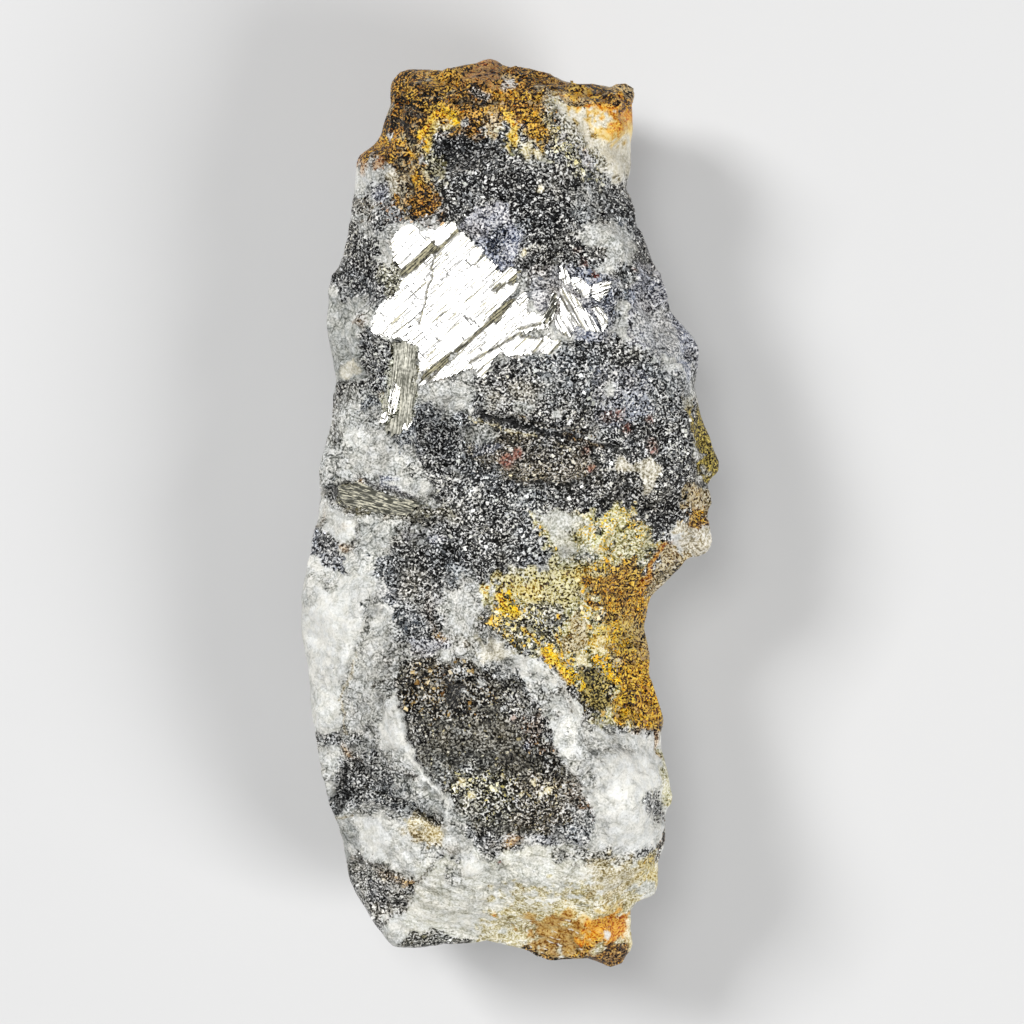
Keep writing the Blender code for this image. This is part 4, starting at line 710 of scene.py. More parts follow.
# Cracks, veins and thin edges, from the left shoulder on.
LINES = [Line(*row) for row in [
    ("crack", [(-15.8, 1.4), (-15.5, 2.5), (-14.5, 3.2), (-13.2, 3.3), (-12.2, 2.5), (-10.4, 1.9),
     (-8.6, 1.3)], 0.3, 0.1, 0.7),
    ("crack", [(-13.6, -0.7), (-14.1, -1.6), (-14.5, -2.4), (-14.2, -3.2)], 0.16, 0.15, 0.6),
    # the long crease across the middle, painted dark as the shadow under its ledge, with its pale lip
    ("crack", [(-3, 8.7), (-1.5, 8.3), (0.5, 8.2), (3, 7.5), (5, 7), (7, 6.4), (9, 6),
     (10.5, 5.3)], 0.40, 0.5),
    ("dark brown grains", [(0.8, 8.8), (3.2, 8), (5.4, 7.6), (7.6, 6.9)], 0.3, 0.1, 0.7),
    ("crack", [(4.2, 6.7), (6.2, 6.2), (8, 5.2), (9.2, 4.9)], 0.2, 0.2, 0.7),
    ("cream", [(-3.6, 8.5), (-2.6, 8.1), (-0.5, 7.7), (2.4, 7.2)], 0.22, 0, 0.7),
    ("crack", [(2, 2.5), (5, 2.7), (7, 3.1), (8, 4)], 0.35, 0.3, 0.8),
    ("dark rust", [(4.8, 7.1), (7, 6.4), (8.2, 6)], 0.3, 0, 0.6),
    ("snow quartz", [(-10.5, -16.4), (-9.9, -18), (-9.5, -20.3), (-8.8, -22), (-6.2, -25),
     (-5.2, -27.4)], 0.26, -0.15, 0.9),
    ("crack", [(-10.2, -16.2), (-9.6, -18), (-9.2, -20.4), (-8.5, -21.9), (-5.9, -24.9)], 0.2, 0.2, 0.8),
    ("crack", [(-1, -3.4), (1.6, -4.6), (3.2, -4.6)], 0.25, 0.15, 0.5),
    # yellow antimony ochre
    ("bright yellow", [(-1.2, -7.3), (-0.7, -7.9), (-0.1, -8.6), (0.6, -9.2)], 0.5, -0.15, 0.8),
    ("bright yellow", [(1.2, -10.4), (1.9, -11.2), (2.8, -11.9)], 0.22, -0.1, 0.85),
    ("bright yellow", [(3, -12.6), (4, -13.4), (4.7, -14.2), (5.2, -15.2)], 0.4, -0.15, 0.7),
    ("bright yellow", [(4.2, -11), (4.5, -12), (4.9, -12.8)], 0.22, 0, 0.7),
    ("amber", [(13.8, -2.5), (12.8, -4.5), (12.5, -5.8), (12, -6.6)], 0.35, 0, 0.85),
    ("amber", [(8, -36.8), (9.2, -36.2), (10.4, -35.8)], 0.3, 0, 0.8),
    ("gold stain", [(5.2, -39.4), (7, -38.8), (8, -38.3)], 0.25, 0, 0.8),
    ("rust", [(4.6, 37), (8, 37), (11, 36.6)], 0.4, 0.05, 0.8),
    ("crack", [(-5, 37.1), (-3.6, 37.2), (-2.6, 36.8), (-1.2, 37.1)], 0.3, 0.3, 0.9),
    ("bright yellow", [(-8.2, 33.8), (-7.6, 35), (-6.6, 36), (-5.4, 36.1)], 0.45, -0.05, 0.7),
    ("bright yellow", [(-0.4, 35.6), (0.4, 34.8), (0.6, 33.6)], 0.3, 0, 0.5),
    ("dark rust", [(1.2, 36.4), (2.3, 34.9), (3, 33.2)], 0.3, 0.15, 0.5),
    ("crack", [(-11, 36.2), (-9.6, 35), (-8.8, 33.2)], 0.3, 0.25, 0.8),
    ("crack", [(-10.4, 31.8), (-9, 30.2), (-8.6, 28.6)], 0.3, 0.25, 0.8),
    ("honey", [(-14, -12.4), (-14.6, -14.8), (-15.4, -16.7), (-14.9, -18), (-14.5, -20)], 0.2, -0.1, 0.6),
    ("honey", [(-15.7, -27.2), (-14.1, -27.3)], 0.2, 0.1, 0.7),
    # creases of the lower half
    ("grey quartz", [(5.2, -22.2), (6.8, -21.4), (9, -20.8), (11.6, -21)], 0.5, 0.08, 0.5),
    ("crack", [(-15, -22.5), (-14.7, -25), (-15.7, -26.8)], 0.4, 0.4, 0.8),
    ("dark olive", [(-13, -24.5), (-10.8, -25.9), (-8, -27.2), (-6, -27.9)], 0.45, 0.35, 0.8),
    ("white quartz", [(-13.9, -20.5), (-13.3, -22.3)], 0.25, -0.15, 0.8),
    ("white quartz", [(-12.8, -20), (-12.8, -22.3)], 0.25, -0.15, 0.8),
    ("snow quartz", [(-10.6, -16.8), (-9.8, -18.6), (-9.3, -20.9)], 0.22, -0.15, 0.8),
    ("crack", [(-11.5, -34.8), (-9.8, -35.4)], 0.35, 0.25, 0.8),
    ("dark grains", [(-7, -31), (-7.6, -32.4), (-9, -33.6), (-9.1, -35)], 0.3, 0.1, 0.35),
    ("dark rust", [(13.6, -26.6), (13.8, -28), (13.5, -30.5)], 0.2, 0.1, 0.7),
    ("gold brown", [(13, -19), (13.2, -22)], 0.3, 0.1, 0.7),
    ("snow quartz", [(-4.3, -16), (-3.5, -16.8), (-2.8, -17.5)], 0.2, -0.1, 0.9),
    ("dark grains", [(15.4, 12.4), (16.2, 8.6), (16.5, 5), (16.9, 3.2)], 0.35, 0.3, 0.8),
    ("dark grains", [(-7.8, 6), (-6.8, 6.6), (-5.5, 7.4)], 0.5, 0.1, 0.5),
]]

# A single grain or fleck: finish, place and half width.
SPOTS = [
    ("white quartz", 4.1, 8.9, 0.55), ("white quartz", 9, 11.5, 0.6), ("cream", 1.2, 23.5, 0.3),
    ("cream", 2.9, 29.1, 0.4), ("snow quartz", -5.9, -12.9, 0.8), ("snow quartz", -2.7, -15.3, 0.5),
    ("red brown", 12.7, 6, 0.8), ("red brown", 8.5, 8.6, 0.7), ("red brown", 9.8, 8.8, 0.7),
    ("red brown", 10.5, 7.5, 0.6), ("red brown", 12.5, 8.5, 0.5), ("red brown", -0.3, 4.7, 0.9),
    ("red brown", 0.8, 5.3, 0.7), ("red brown", 6.7, 5.8, 0.6), ("red brown", 7.5, 4.2, 0.6),
    ("red brown", 6.6, 22.5, 0.5), ("red brown", 7.5, 21.5, 0.5), ("red brown", 11, 21.7, 0.4),
    ("red brown", 6.3, 23.6, 0.4), ("red brown", -1, -31.4, 0.3), ("cream", -0.8, -23.7, 0.35),
    ("cream", -4.2, -24.2, 0.4), ("cream", -3.5, -25.5, 0.35), ("cream", 3.3, -24.9, 0.55),
    ("cream", 1.8, -24.2, 0.3), ("cream", 2.5, -25.2, 0.3), ("cream", 0.9, -25.1, 0.3),
    ("blue-dark grains", 1.6, -21.1, 0.35), ("bright yellow", -1.2, -35.7, 0.25),
    ("bright yellow", -14.1, 28.4, 0.3), ("snow quartz", -10.6, 34.2, 0.35),
    ("snow quartz", -11.3, -36.3, 0.3), ("dark grains", -12.9, -31.2, 0.3),
    ("bright yellow", 7.2, -10.2, 0.25), ("bright yellow", 4.2, -9.4, 0.25),
]

# Swells and hollows of the broken face: an outline, how far it rises or sinks, and over what width.
FORMS = [
    ([(-10.2, -15), (-8, -12.9), (-3, -13.4), (0, -14.6), (2.4, -16.5), (3.4, -20.2), (5.3, -22.9),
     (7.5, -25.4), (7.3, -28.9), (-2.6, -28.9), (-5, -27.4), (-8.7, -21.9), (-9.8, -18)], -0.9, 2.2),
    ([(-7.4, 32), (-6.6, 34), (-4, 34.8), (-1.6, 33.8), (-1.4, 31.6), (-4, 30.4), (-6.4, 30.6)], -1.2, 1.6),
    ([(-8.8, 9.2), (-5, 8.8), (-3.8, 7.4), (-4.6, 5.2), (-7.8, 4.8), (-8.8, 6.4)], -0.9, 1.5),
    ([(8.8, 4), (13, 1.9), (16.2, 2.6), (16.2, 0), (14, -2), (10.6, -0.6), (8.4, 0.8)], -0.9, 1.5),
    ([(-12.4, -3.8), (-8, -2.8), (-4.6, -3), (-5.8, -6.4), (-6.4, -9.6), (-8.2, -11.4), (-10, -9),
     (-11.8, -6)], -0.6, 1.6),
    ([(-15.6, -21.6), (-12.4, -22), (-10, -24.8), (-6.2, -27.6), (-9.4, -27.2), (-14.4, -26.6),
     (-16.4, -26.8)], -0.8, 1.2),
    ([(-16.4, -31.6), (-12, -31.4), (-9.4, -33.4), (-9.4, -36.2), (-13, -38)], -0.5, 1.2),
    ([(-3.4, 8.3), (0.5, 7.9), (7, 6), (8.4, 4.6), (7, 2.9), (2, 2.3), (-1.6, 3), (-3.6, 4.6)], 0.8, 1.4),
    ([(-20, -5), (-13, -5.2), (-12.2, -8), (-14.2, -12.4), (-15.4, -16.8), (-15.6, -20),
     (-20, -20.5)], 0.6, 1.4),
    ([(-15.8, 2.3), (-13.4, 3), (-11, 1.8), (-6, 0.6), (-5.2, -0.9), (-9.5, -0.7), (-15.2, 0.4)], 0.5, 0.7),
    ([(6.3, 25), (7, 26.4), (10.2, 26), (11.6, 23.6), (9.6, 21.6), (7.4, 22.2)], 0.7, 1.4),
    ([(-12, 37), (-8, 36.6), (-3, 37.4), (2, 37), (6, 37.2), (11, 37.4), (12, 42), (-12, 42)], 0.7, 1.2),
    ([(14.6, -0.9), (19, -0.6), (19, -4.4), (15.6, -4.6), (14.2, -2)], 0.6, 0.9),
    ([(-4.4, -31.4), (-2.7, -30.4), (-1.6, -31.7), (-2.6, -32.9), (-4.2, -32.6)], 0.2, 0.7),
    ([(4.6, -9.4), (6.6, -8.7), (8.6, -9.2), (8.8, -12.4), (7.4, -13.9), (6, -13.4),
     (4.8, -11.8)], 0.5, 0.9),
    ([(5.4, -13.9), (9.4, -15.2), (9.2, -17.2), (7.8, -18.7), (6.2, -17)], -0.5, 0.9),
    ([(7.4, -5.4), (11.6, -6.4), (11.6, -9.2), (8.4, -8.6)], -0.5, 1.4),
    ([(8, -20.6), (14.6, -20.4), (14.8, -29.6), (8.8, -30), (7.2, -24.8)], 0.6, 1.6),
    ([(-12.6, -18.4), (-10.6, -16.6), (-9.6, -19), (-9.6, -21.2), (-11.6, -21.2)], 0.5, 0.9),
    ([(-17.6, 9.6), (-13.2, 9.4), (-10, 7.4), (-8.6, 4), (-11, 2.2), (-17.6, 3.4)], 0.5, 1.4),
    ([(10.6, 22.6), (15.4, 18.6), (17.6, 14.6), (14.4, 12.8), (11, 15.2), (10.2, 18)], 0.5, 1.4),
    ([(-1.9, 25.6), (-0.8, 25.7), (-0.3, 24.4), (-1, 23.4), (-2, 24.2)], -0.5, 0.6),
]

# Ledges where the stone broke: each stands up by so much at the left of its run, and falls back to
# the ground over so many millimetres.
STEPS = [
    ([(-2.6, -28.9), (-5, -27.4), (-6, -24.9), (-8.7, -21.9), (-9.4, -20.4), (-9.8, -17.5),
     (-10.4, -16)], 0.6, 2.2),
    ([(10.5, 5.3), (9, 6), (7, 6.4), (5, 7), (3, 7.5), (0.5, 8.2), (-1.5, 8.3), (-3.4, 8.7)], 0.45, 1.6),
    ([(-15.3, -17.4), (-15, -14.8), (-14.2, -12.5), (-13.4, -10.2), (-12.6, -8.4), (-12, -6.4)], 0.40, 1.8),
    ([(8.6, -30.2), (7.3, -29.3), (2.4, -29.4), (-1, -31), (-3, -30.8), (-5, -32.4)], 0.35, 1.6),
    ([(1.2, -15.6), (2.6, -17.4), (3.4, -20.2), (5.3, -22.9), (7.5, -25.4), (7.8, -28)], 0.35, 1.6),
    ([(3.9, 36), (6, 33.2), (8, 31.3), (10.4, 29.4)], 0.35, 2),
    ([(-13.3, 12), (-13.2, 13.4), (-13.8, 15.4), (-12.8, 17.8), (-13.4, 19.4), (-15.4, 20.2)], 0.35, 1.4),
    ([(-7.4, 34.2), (-6.6, 36), (-4, 36.6), (0, 36), (3, 35)], 0.35, 1.8),
    ([(-5, 0.2), (-8.3, 0.9), (-11.5, 1.9), (-13.6, 3.1), (-15.6, 2.4)], 0.30, 1.4),
    ([(-14.8, -0.1), (-11, -0.5), (-9.5, -1.1), (-5.4, -1.3)], -0.30, 1.2),
    ([(-9.6, 30.4), (-10.4, 28.6), (-9.8, 26.9), (-7.4, 26.6)], -0.30, 1.2),
    ([(13.4, -18.8), (10.4, -19.4), (7.2, -19.2), (5.8, -16.2), (4.2, -14.2), (0.6, -12.6)], -0.25, 1.2),
    ([(-9.6, -36.6), (-9.1, -34.8), (-9.8, -32.6), (-12.5, -31.4), (-15.4, -31.6)], -0.30, 1.4),
    ([(-4.4, -5.6), (-3, -5.8), (-2.3, -8), (-2, -9.8), (-0.4, -11.6)], -0.20, 1.2),
]


# ------------------------------------------------------------------ the coat of the stone
def linear(colour):
    """From 0 to 255 as the eye sees it, to the share of light."""
    share = np.array(colour, dtype=float) / 255.0
    return np.where(share <= 0.04045, share / 12.92, ((share + 0.055) / 1.055) ** 2.4)


VALUES = ("grain", "sugar", "metal", "flecks", "streaks", "coarse", "veins")


class Coat:
    """What each point of the stone is made of, and how deep it is cut."""

    def __init__(self, points):
        self.colour = np.zeros((len(points), 3))
        self.fleck = np.zeros((len(points), 3))
        self.values = {name: np.zeros(len(points)) for name in VALUES}
        self.cut = np.zeros(len(points))

    def lay(self, name, cover, chosen=slice(None)):
        """Covers the chosen points with a finish, each by its own share."""
        finish = FINISHES[name]
        keep = 1.0 - cover
        self.colour[chosen] = self.colour[chosen] * keep[:, None] + linear(finish.colour) * cover[:, None]
        fleck = linear(finish.fleck or finish.colour)
        self.fleck[chosen] = self.fleck[chosen] * keep[:, None] + fleck * cover[:, None]
        for key, held in self.values.items():
            held[chosen] = held[chosen] * keep + getattr(finish, key) * cover


def lay_broken_quartz(coat, points):
    """Quartz all round, with clouds and veins of grains and thin gold-brown seams."""
    coat.lay("grey quartz", np.ones(len(points)))
    coat.lay("white quartz", ease(clouds(points, size=7.0, seed=21), -0.15, 0.35))
    coat.lay("lilac quartz", 0.6 * ease(clouds(points, size=5.0, seed=31), 0.15, 0.5))
    veins = clouds(points * np.array((1.0, 0.45, 1.0)), size=6.0, seed=41)
    coat.lay("speckled grains", 0.9 * ease(veins, 0.12, 0.32))
    coat.lay("dark grains", 0.7 * ease(clouds(points, size=4.0, seed=51), 0.3, 0.5))
    seams = 1.0 - ease(np.abs(clouds(points, size=9.0, seed=61)), 0.0, 0.06)
    coat.lay("gold brown", 0.75 * seams * ease(clouds(points, size=3.0, seed=71), -0.2, 0.3))


def lay_ends(coat, points):
    """Rust all round the top end, and amber brown round the right corner of the foot."""
    top = ease(points[:, 1] + 3.0 * clouds(points, size=5.0, seed=81), 31.0, 37.0)
    coat.lay("rust", top)
    coat.lay("tan", 0.6 * top * ease(clouds(points, size=4.0, seed=95), 0.0, 0.3))
    coat.lay("gold stain", 0.35 * top * ease(clouds(points, size=3.0, seed=91), 0.1, 0.4))
    coat.lay("dark rust", top * ease(clouds(points, size=3.5, seed=101), 0.1, 0.4))
    foot = ease(-points[:, 1] + 2.0 * clouds(points, size=5.0, seed=111), 34.0, 39.0)
    coat.lay("amber brown", 0.8 * foot * ease(points[:, 0], 0.0, 6.0))


def ragged_places(points, steep):
    """Where the points lie on the drawing, shifted so that its edges wander, most where it is steep."""
    fine = [clouds(points, size=1.2, seed=seed, octaves=4) for seed in (121, 131)]
    broad = [swell(points, size=4.0, seed=seed) for seed in (141, 151)]
    sides = [clouds(points, size=3.6, seed=seed) for seed in (143, 147)]
    shift = 0.46 * np.stack(fine, axis=1)
    shift += 0.225 * np.stack(broad, axis=1)
    shift += 2.6 * steep[:, None] * np.stack(sides, axis=1)
    return drawn(points) + shift


def lay_patches(coat, places, face, steep, crumbs):
    """The drawn patches, one over another. The edges of stained ones crumble most."""
    for patch in PATCHES:
        chosen = near(places, patch.corners, patch.soft * 2.0)
        red, _, blue = FINISHES[patch.finish].colour
        crumble = 2.4 if red > 1.25 * blue else 1.2
        depth = depth_inside(places[chosen], patch.corners)
        depth += crumble * patch.soft * crumbs[chosen] * (1.0 - 0.6 * steep[chosen])
        fade = EDGE_FADE + STEEP_FADE * steep[chosen]
        cover = patch.cover * ease(depth / fade, -patch.soft, patch.soft)
        coat.lay(patch.finish, cover * face[chosen], chosen)


def lay_lines(coat, places, face):
    """Cracks, veins and thin edges, each cut in by its own depth."""
    for line in LINES:
        chosen = near(places, line.run, line.width)
        gap = gap_to_line(places[chosen], line.run)
        share = (1.0 - ease(gap, line.width * 0.3, line.width * 0.75)) * face[chosen]
        coat.lay(line.finish, line.cover * share, chosen)
        coat.cut[chosen] += line.cut * share


def lay_spots(coat, places, face):
    for name, x, y, half in SPOTS:
        chosen = near(places, [(x, y)], half * 1.5)
        gap = np.linalg.norm(places[chosen] - (x, y), axis=1)
        share = (1.0 - ease(gap, half * 0.5, half * 1.2)) * face[chosen]
        coat.lay(name, 0.85 * share, chosen)


def break_up(coat, points):
    """Lumps and crumbs, and painted light and shade, that keep the rough grounds from being even."""
    grain, sugar = coat.values["grain"], coat.values["sugar"]
    rough = 1.0 - ease(coat.values["metal"], 0.6, 0.9)
    stained = ease(coat.colour[:, 0] / (coat.colour[:, 2] + 0.01), 1.4, 2.6)
    unstained = 1.0 - stained
    lumps = ease(clouds(points, size=1.7, seed=181), 0.16, 0.36) * ease(grain, 0.7, 0.95)
    coat.lay("grey quartz", 0.4 * lumps * rough * unstained)
    coat.lay("cream", 0.4 * lumps * stained)
    crumbs = ease(clouds(points, size=1.0, seed=191), 0.22, 0.4) * ease(sugar, 0.7, 0.8)
    coat.lay("speckled grains", 0.55 * crumbs * rough)
    # painted light and shade: clouds of lighter and darker colour, strongest on grainy grounds, standing in
    # for the shading of small swells and hollows
    shade = 2.0 ** ((0.35 + 0.95 * grain) * clouds(points, size=2.6, seed=195, octaves=4) * rough)
    coat.colour *= shade[:, None]
    cold = clouds(points, size=3.6, seed=199) * rough * unstained * ease(grain, 0.2, 0.7)
    coat.colour *= 1.0 + cold[:, None] * np.array((-0.14, 0.0, 0.24))
    coat.fleck *= 1.0 + cold[:, None] * np.array((-0.06, 0.0, 0.10))
    coat.values["flecks"] *= 0.55 + 0.9 * ease(clouds(points, size=1.5, seed=197), -0.3, 0.4)
    coat.values["stain"] = stained


def coat_of(points, facing):
    """The coat of the stone. The drawing of its face reaches down the sides as far as the rim."""
    coat = Coat(points)
    lay_broken_quartz(coat, points)
    lay_ends(coat, points)
    steep = 1.0 - ease(facing[:, 2], 0.1, 0.6)
    level = points[:, 2] + 3.2 * steep * clouds(points, size=4.5, seed=161)
    face = ease(level, FACE_FROM_Z, FACE_FULL_Z) * ease(facing[:, 2], -0.35, -0.05)
    places = ragged_places(points, steep)
    lay_patches(coat, places, face, steep, clouds(points, size=0.7, seed=171))
    lay_lines(coat, places, face)
    lay_spots(coat, places, face)
    break_up(coat, points)
    return coat


# ------------------------------------------------------------------ mesh helpers
def points_of(mesh):
    """The mesh's points, in millimetres."""
    points = np.empty(len(mesh.vertices) * 3)
    mesh.vertices.foreach_get("co", points)
    return points.reshape(-1, 3) / MM


def directions_of(mesh):
    directions = np.empty(len(mesh.vertices) * 3)
    mesh.vertices.foreach_get("normal", directions)
    return directions.reshape(-1, 3)


def move_points(mesh, points):
    mesh.vertices.foreach_set("co", (points * MM).ravel())
    mesh.update()


def keep_value(mesh, name, values):
    mesh.attributes.new(name, "FLOAT", "POINT").data.foreach_set("value", values.astype(np.float32))


def keep_colour(mesh, name, colours):
    with_alpha = np.ones((len(colours), 4), dtype=np.float32)
    with_alpha[:, :3] = colours
    mesh.attributes.new(name, "FLOAT_COLOR", "POINT").data.foreach_set("color", with_alpha.ravel())


def remeshed(mesh, pitch):
    """The same shape in even small faces."""
    holder = bpy.data.objects.new("remesh", mesh)
    bpy.context.scene.collection.objects.link(holder)
    modifier = holder.modifiers.new("Remesh", "REMESH")
    modifier.mode = "VOXEL"
    modifier.voxel_size = pitch * MM
    bpy.context.view_layer.update()
    shaped = bpy.data.meshes.new_from_object(holder.evaluated_get(bpy.context.evaluated_depsgraph_get()))
    bpy.data.objects.remove(holder, do_unlink=True)
    return shaped


def soften(bm, verts, times):
    for _ in range(times):
        bmesh.ops.smooth_vert(bm, verts=verts, factor=0.5, use_axis_x=True, use_axis_y=True, use_axis_z=True)


# ------------------------------------------------------------------ the shape of the stone
def stone_ground():
    """The stone's own shape, with its breaks softened, finely meshed on its face."""
    bm = bmesh.new()
    bm.from_mesh(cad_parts["antimony_quartz_stone"].data)
    bmesh.ops.remove_doubles(bm, verts=bm.verts, dist=1e-6)
    mesh = bpy.data.meshes.new("stone")
    bm.to_mesh(mesh)
    bm.free()
    mesh = remeshed(mesh, STONE_PITCH)
    bm = bmesh.new()
    bm.from_mesh(mesh)
    bm.normal_update()
    soften(bm, bm.verts, 1)
    soften(bm, [v for v in bm.verts if abs(v.normal.z) > 0.6], 2)
    bm.normal_update()
    fine = [f for f in bm.faces if f.normal.z > FACE_LEAN and f.calc_center_median().z > FACE_FROM_Z * MM]
    edges = list({edge for f in fine for edge in f.edges})
    bmesh.ops.subdivide_edges(bm, edges=edges, cuts=1, use_grid_fill=True, smooth=0.0)
    bmesh.ops.triangulate(bm, faces=bm.faces)
    soften(bm, bm.verts, 1)
    bm.to_mesh(mesh)
    bm.free()
    mesh.update()
    return mesh


def add_ledges(height, points):
    """Raises one side of each break of the face, falling back to the ground."""
    places = drawn(points)
    for run, rise, reach in STEPS:
        chosen = near(places, run, reach)
        ragged = 0.25 * clouds(points[chosen], size=1.2, seed=281)[:, None]
        side, gap = side_of_line(places[chosen] + ragged, run)
        to_ends = [np.linalg.norm(places[chosen] - end, axis=1) for end in (run[0], run[-1])]
        fade = (1.0 - ease(gap, 0.0, reach)) * ease(np.minimum(*to_ends), 0.0, 1.5)
        height[chosen] += rise * fade * ease(side * gap, -0.12, 0.12)


def relief(points, coat):
    """How far the broken surface stands out of the softened shape."""
    grain, metal, streaks = (coat.values[name] for name in ("grain", "metal", "streaks"))
    quartz = coat.values["sugar"] * (1.0 - metal) * (1.0 - 0.7 * streaks)
    height = 0.26 * clouds(points, size=3.2, seed=201)
    height += quartz * facets(points, size=3.4, seed=211, tilt=0.42)
    height += quartz * facets(points, size=1.35, seed=231, tilt=0.40)
    height += grain * (1.0 - metal * 0.5) * 0.20 * swell(points, size=0.5, seed=251)
    height += grain * 0.22 * clouds(points, size=1.1, seed=261)
    height += grain * 0.34 * clouds(points, size=2.4, seed=265)
    height += streaks * 0.14 * clouds(slant(points) / (3.2, 0.55, 1.0), size=1.0, seed=271)
    height *= 1.0 - ease(metal, 0.7, 0.95)
    add_ledges(height, points)
    return height - coat.cut


def face_forms(points):
    """The broad swells and hollows of the face."""
    rise = np.zeros(len(points))
    wander = [clouds(points, size=2.0, seed=seed) for seed in (295, 298)]
    places = drawn(points) + 0.5 * np.stack(wander, axis=1)
    for corners, height, width in FORMS:
        chosen = near(places, corners, width)
        rise[chosen] += height * ease(depth_inside(places[chosen], corners), -0.2 * width, width)
    return rise


def held_to_outline(points):
    """Draws the widest part of the stone to its outline, and what stands over it back inside."""
    places = points[:, :2]
    depth = depth_inside(places, OUTLINE)
    step = 0.02
    along_x = depth_inside(places + (step, 0.0), OUTLINE) - depth
    along_y = depth_inside(places + (0.0, step), OUTLINE) - depth
    slope = np.stack([along_x, along_y], axis=1) / step
    waist = 1.0 - ease(np.abs(points[:, 2] - WAIST_HEIGHT), 2.0, 5.0)
    waist *= 1.0 - ease(depth, 0.9, 1.8)
    goal = 0.05 + 0.06 * swell(points, size=0.8, seed=291)
    push = np.where(depth < goal, goal - depth, (goal - depth) * waist)
    moved = points.copy()
    moved[:, :2] += slope * push[:, None]
    return moved


# ------------------------------------------------------------------ material helpers
class Wiring:
    """Short names for the nodes of one material. Sizes are in millimetres."""

    def __init__(self, name):
        self.material = bpy.data.materials.new(name)
        self.material.use_nodes = True
        self.nodes = self.material.node_tree.nodes
        self.links = self.material.node_tree.links
        self.shader = self.nodes["Principled BSDF"]
        self.place = self.nodes.new("ShaderNodeTexCoord").outputs["Object"]

    def set(self, socket, value):
        if isinstance(value, bpy.types.NodeSocket):
            self.links.new(value, socket)
        else:
            socket.default_value = value

    def attribute(self, name, output="Fac"):
        node = self.nodes.new("ShaderNodeAttribute")
        node.attribute_name = name
        return node.outputs[output]

    def math(self, operation, *values):
        node = self.nodes.new("ShaderNodeMath")
        node.operation = operation
        for socket, value in zip(node.inputs, values):
            self.set(socket, value)
        return node.outputs[0]

    def times(self, first, second):
        return self.math("MULTIPLY", first, second)

    def plus(self, first, second):
        return self.math("ADD", first, second)

    def minus(self, first, second):
        return self.math("SUBTRACT", first, second)

    def most(self, first, second):
        return self.math("MAXIMUM", first, second)

    def least(self, first, second):
        return self.math("MINIMUM", first, second)

    def two_to(self, power):
        return self.math("POWER", 2.0, power)

    def vector(self, operation, first, second):
        node = self.nodes.new("ShaderNodeVectorMath")
        node.operation = operation
        self.set(node.inputs[0], first)
        self.set(node.inputs["Scale"] if operation == "SCALE" else node.inputs[1], second)
        return node.outputs["Vector"]

    def noise(self, size, detail=1.0, distortion=0.0, vector=None, output="Fac"):
        node = self.nodes.new("ShaderNodeTexNoise")
        node.inputs["Scale"].default_value = 1.0 / (size * MM)
        node.inputs["Detail"].default_value = detail
        node.inputs["Distortion"].default_value = distortion
        self.links.new(vector or self.place, node.inputs["Vector"])
        return node.outputs[output]

    def cells(self, size, feature="F1", output="Color", vector=None):
        node = self.nodes.new("ShaderNodeTexVoronoi")
        node.feature = feature
        node.inputs["Scale"].default_value = 1.0 / (size * MM)
        self.links.new(vector or self.place, node.inputs["Vector"])
        return node.outputs[output]

    def seams(self, size, vector, low, high):
        """1 along the borders of cells, 0 inside them."""
        return self.spread(self.cells(size, "DISTANCE_TO_EDGE", "Distance", vector), low, high, 1.0, 0.0)

    def spread(self, value, low, high, to_low=-1.0, to_high=1.0, kind="SMOOTHSTEP"):
        """Maps low to to_low and high to to_high, eased unless the kind says otherwise."""
        node = self.nodes.new("ShaderNodeMapRange")
        node.interpolation_type = kind
        for key, number in zip(("Value", "From Min", "From Max", "To Min", "To Max"),
                               (value, low, high, to_low, to_high)):
            self.set(node.inputs[key], number)
        return node.outputs["Result"]

    def blend(self, share, first, second):
        node = self.nodes.new("ShaderNodeMix")
        node.data_type = "RGBA"
        self.set(node.inputs["Factor"], share)
        self.set(node.inputs["A"], first)
        self.set(node.inputs["B"], second)
        return node.outputs["Result"]

    def ridges(self, size, distortion, width):
        """Wandering light ridges on a dark ground, from -1 to 1."""
        away = self.math("ABSOLUTE", self.minus(self.noise(size, 1.0, distortion), 0.5))
        return self.spread(away, 0.012, width, 1.0, -1.0)

    def red_of(self, colour):
        """The red of a colour, as a value."""
        node = self.nodes.new("ShaderNodeSeparateColor")
        self.links.new(colour, node.inputs["Color"])
        return node.outputs["Red"]

    def centred(self, colour):
        """A random colour as a way to go, in any direction."""
        return self.vector("SUBTRACT", colour, (0.5, 0.5, 0.5))

    def warped(self, size, amount):
        """The object's own coordinates, pushed about a little."""
        push = self.centred(self.noise(size, detail=0.0, output="Color"))
        return self.vector("ADD", self.place, self.vector("SCALE", push, amount * MM))

    def turned(self, degrees, stretch):
        """The object's own coordinates, turned about z and drawn out along x."""
        node = self.nodes.new("ShaderNodeMapping")
        node.inputs["Rotation"].default_value = (0.0, 0.0, np.radians(degrees))
        self.links.new(self.place, node.inputs["Vector"])
        return self.vector("MULTIPLY", node.outputs["Vector"], stretch)

    def gamma(self, colour, power):
        node = self.nodes.new("ShaderNodeGamma")
        self.set(node.inputs["Color"], colour)
        self.set(node.inputs["Gamma"], power)
        return node.outputs["Color"]

    def leaning(self, size, lean):
        """Flat facets: every small cell turns the surface a little its own way."""
        normal = self.nodes.new("ShaderNodeNewGeometry").outputs["Normal"]
        turn = self.vector("SCALE", self.centred(self.cells(size)), lean)
        return self.vector("NORMALIZE", self.vector("ADD", normal, turn), (0.0, 0.0, 0.0))

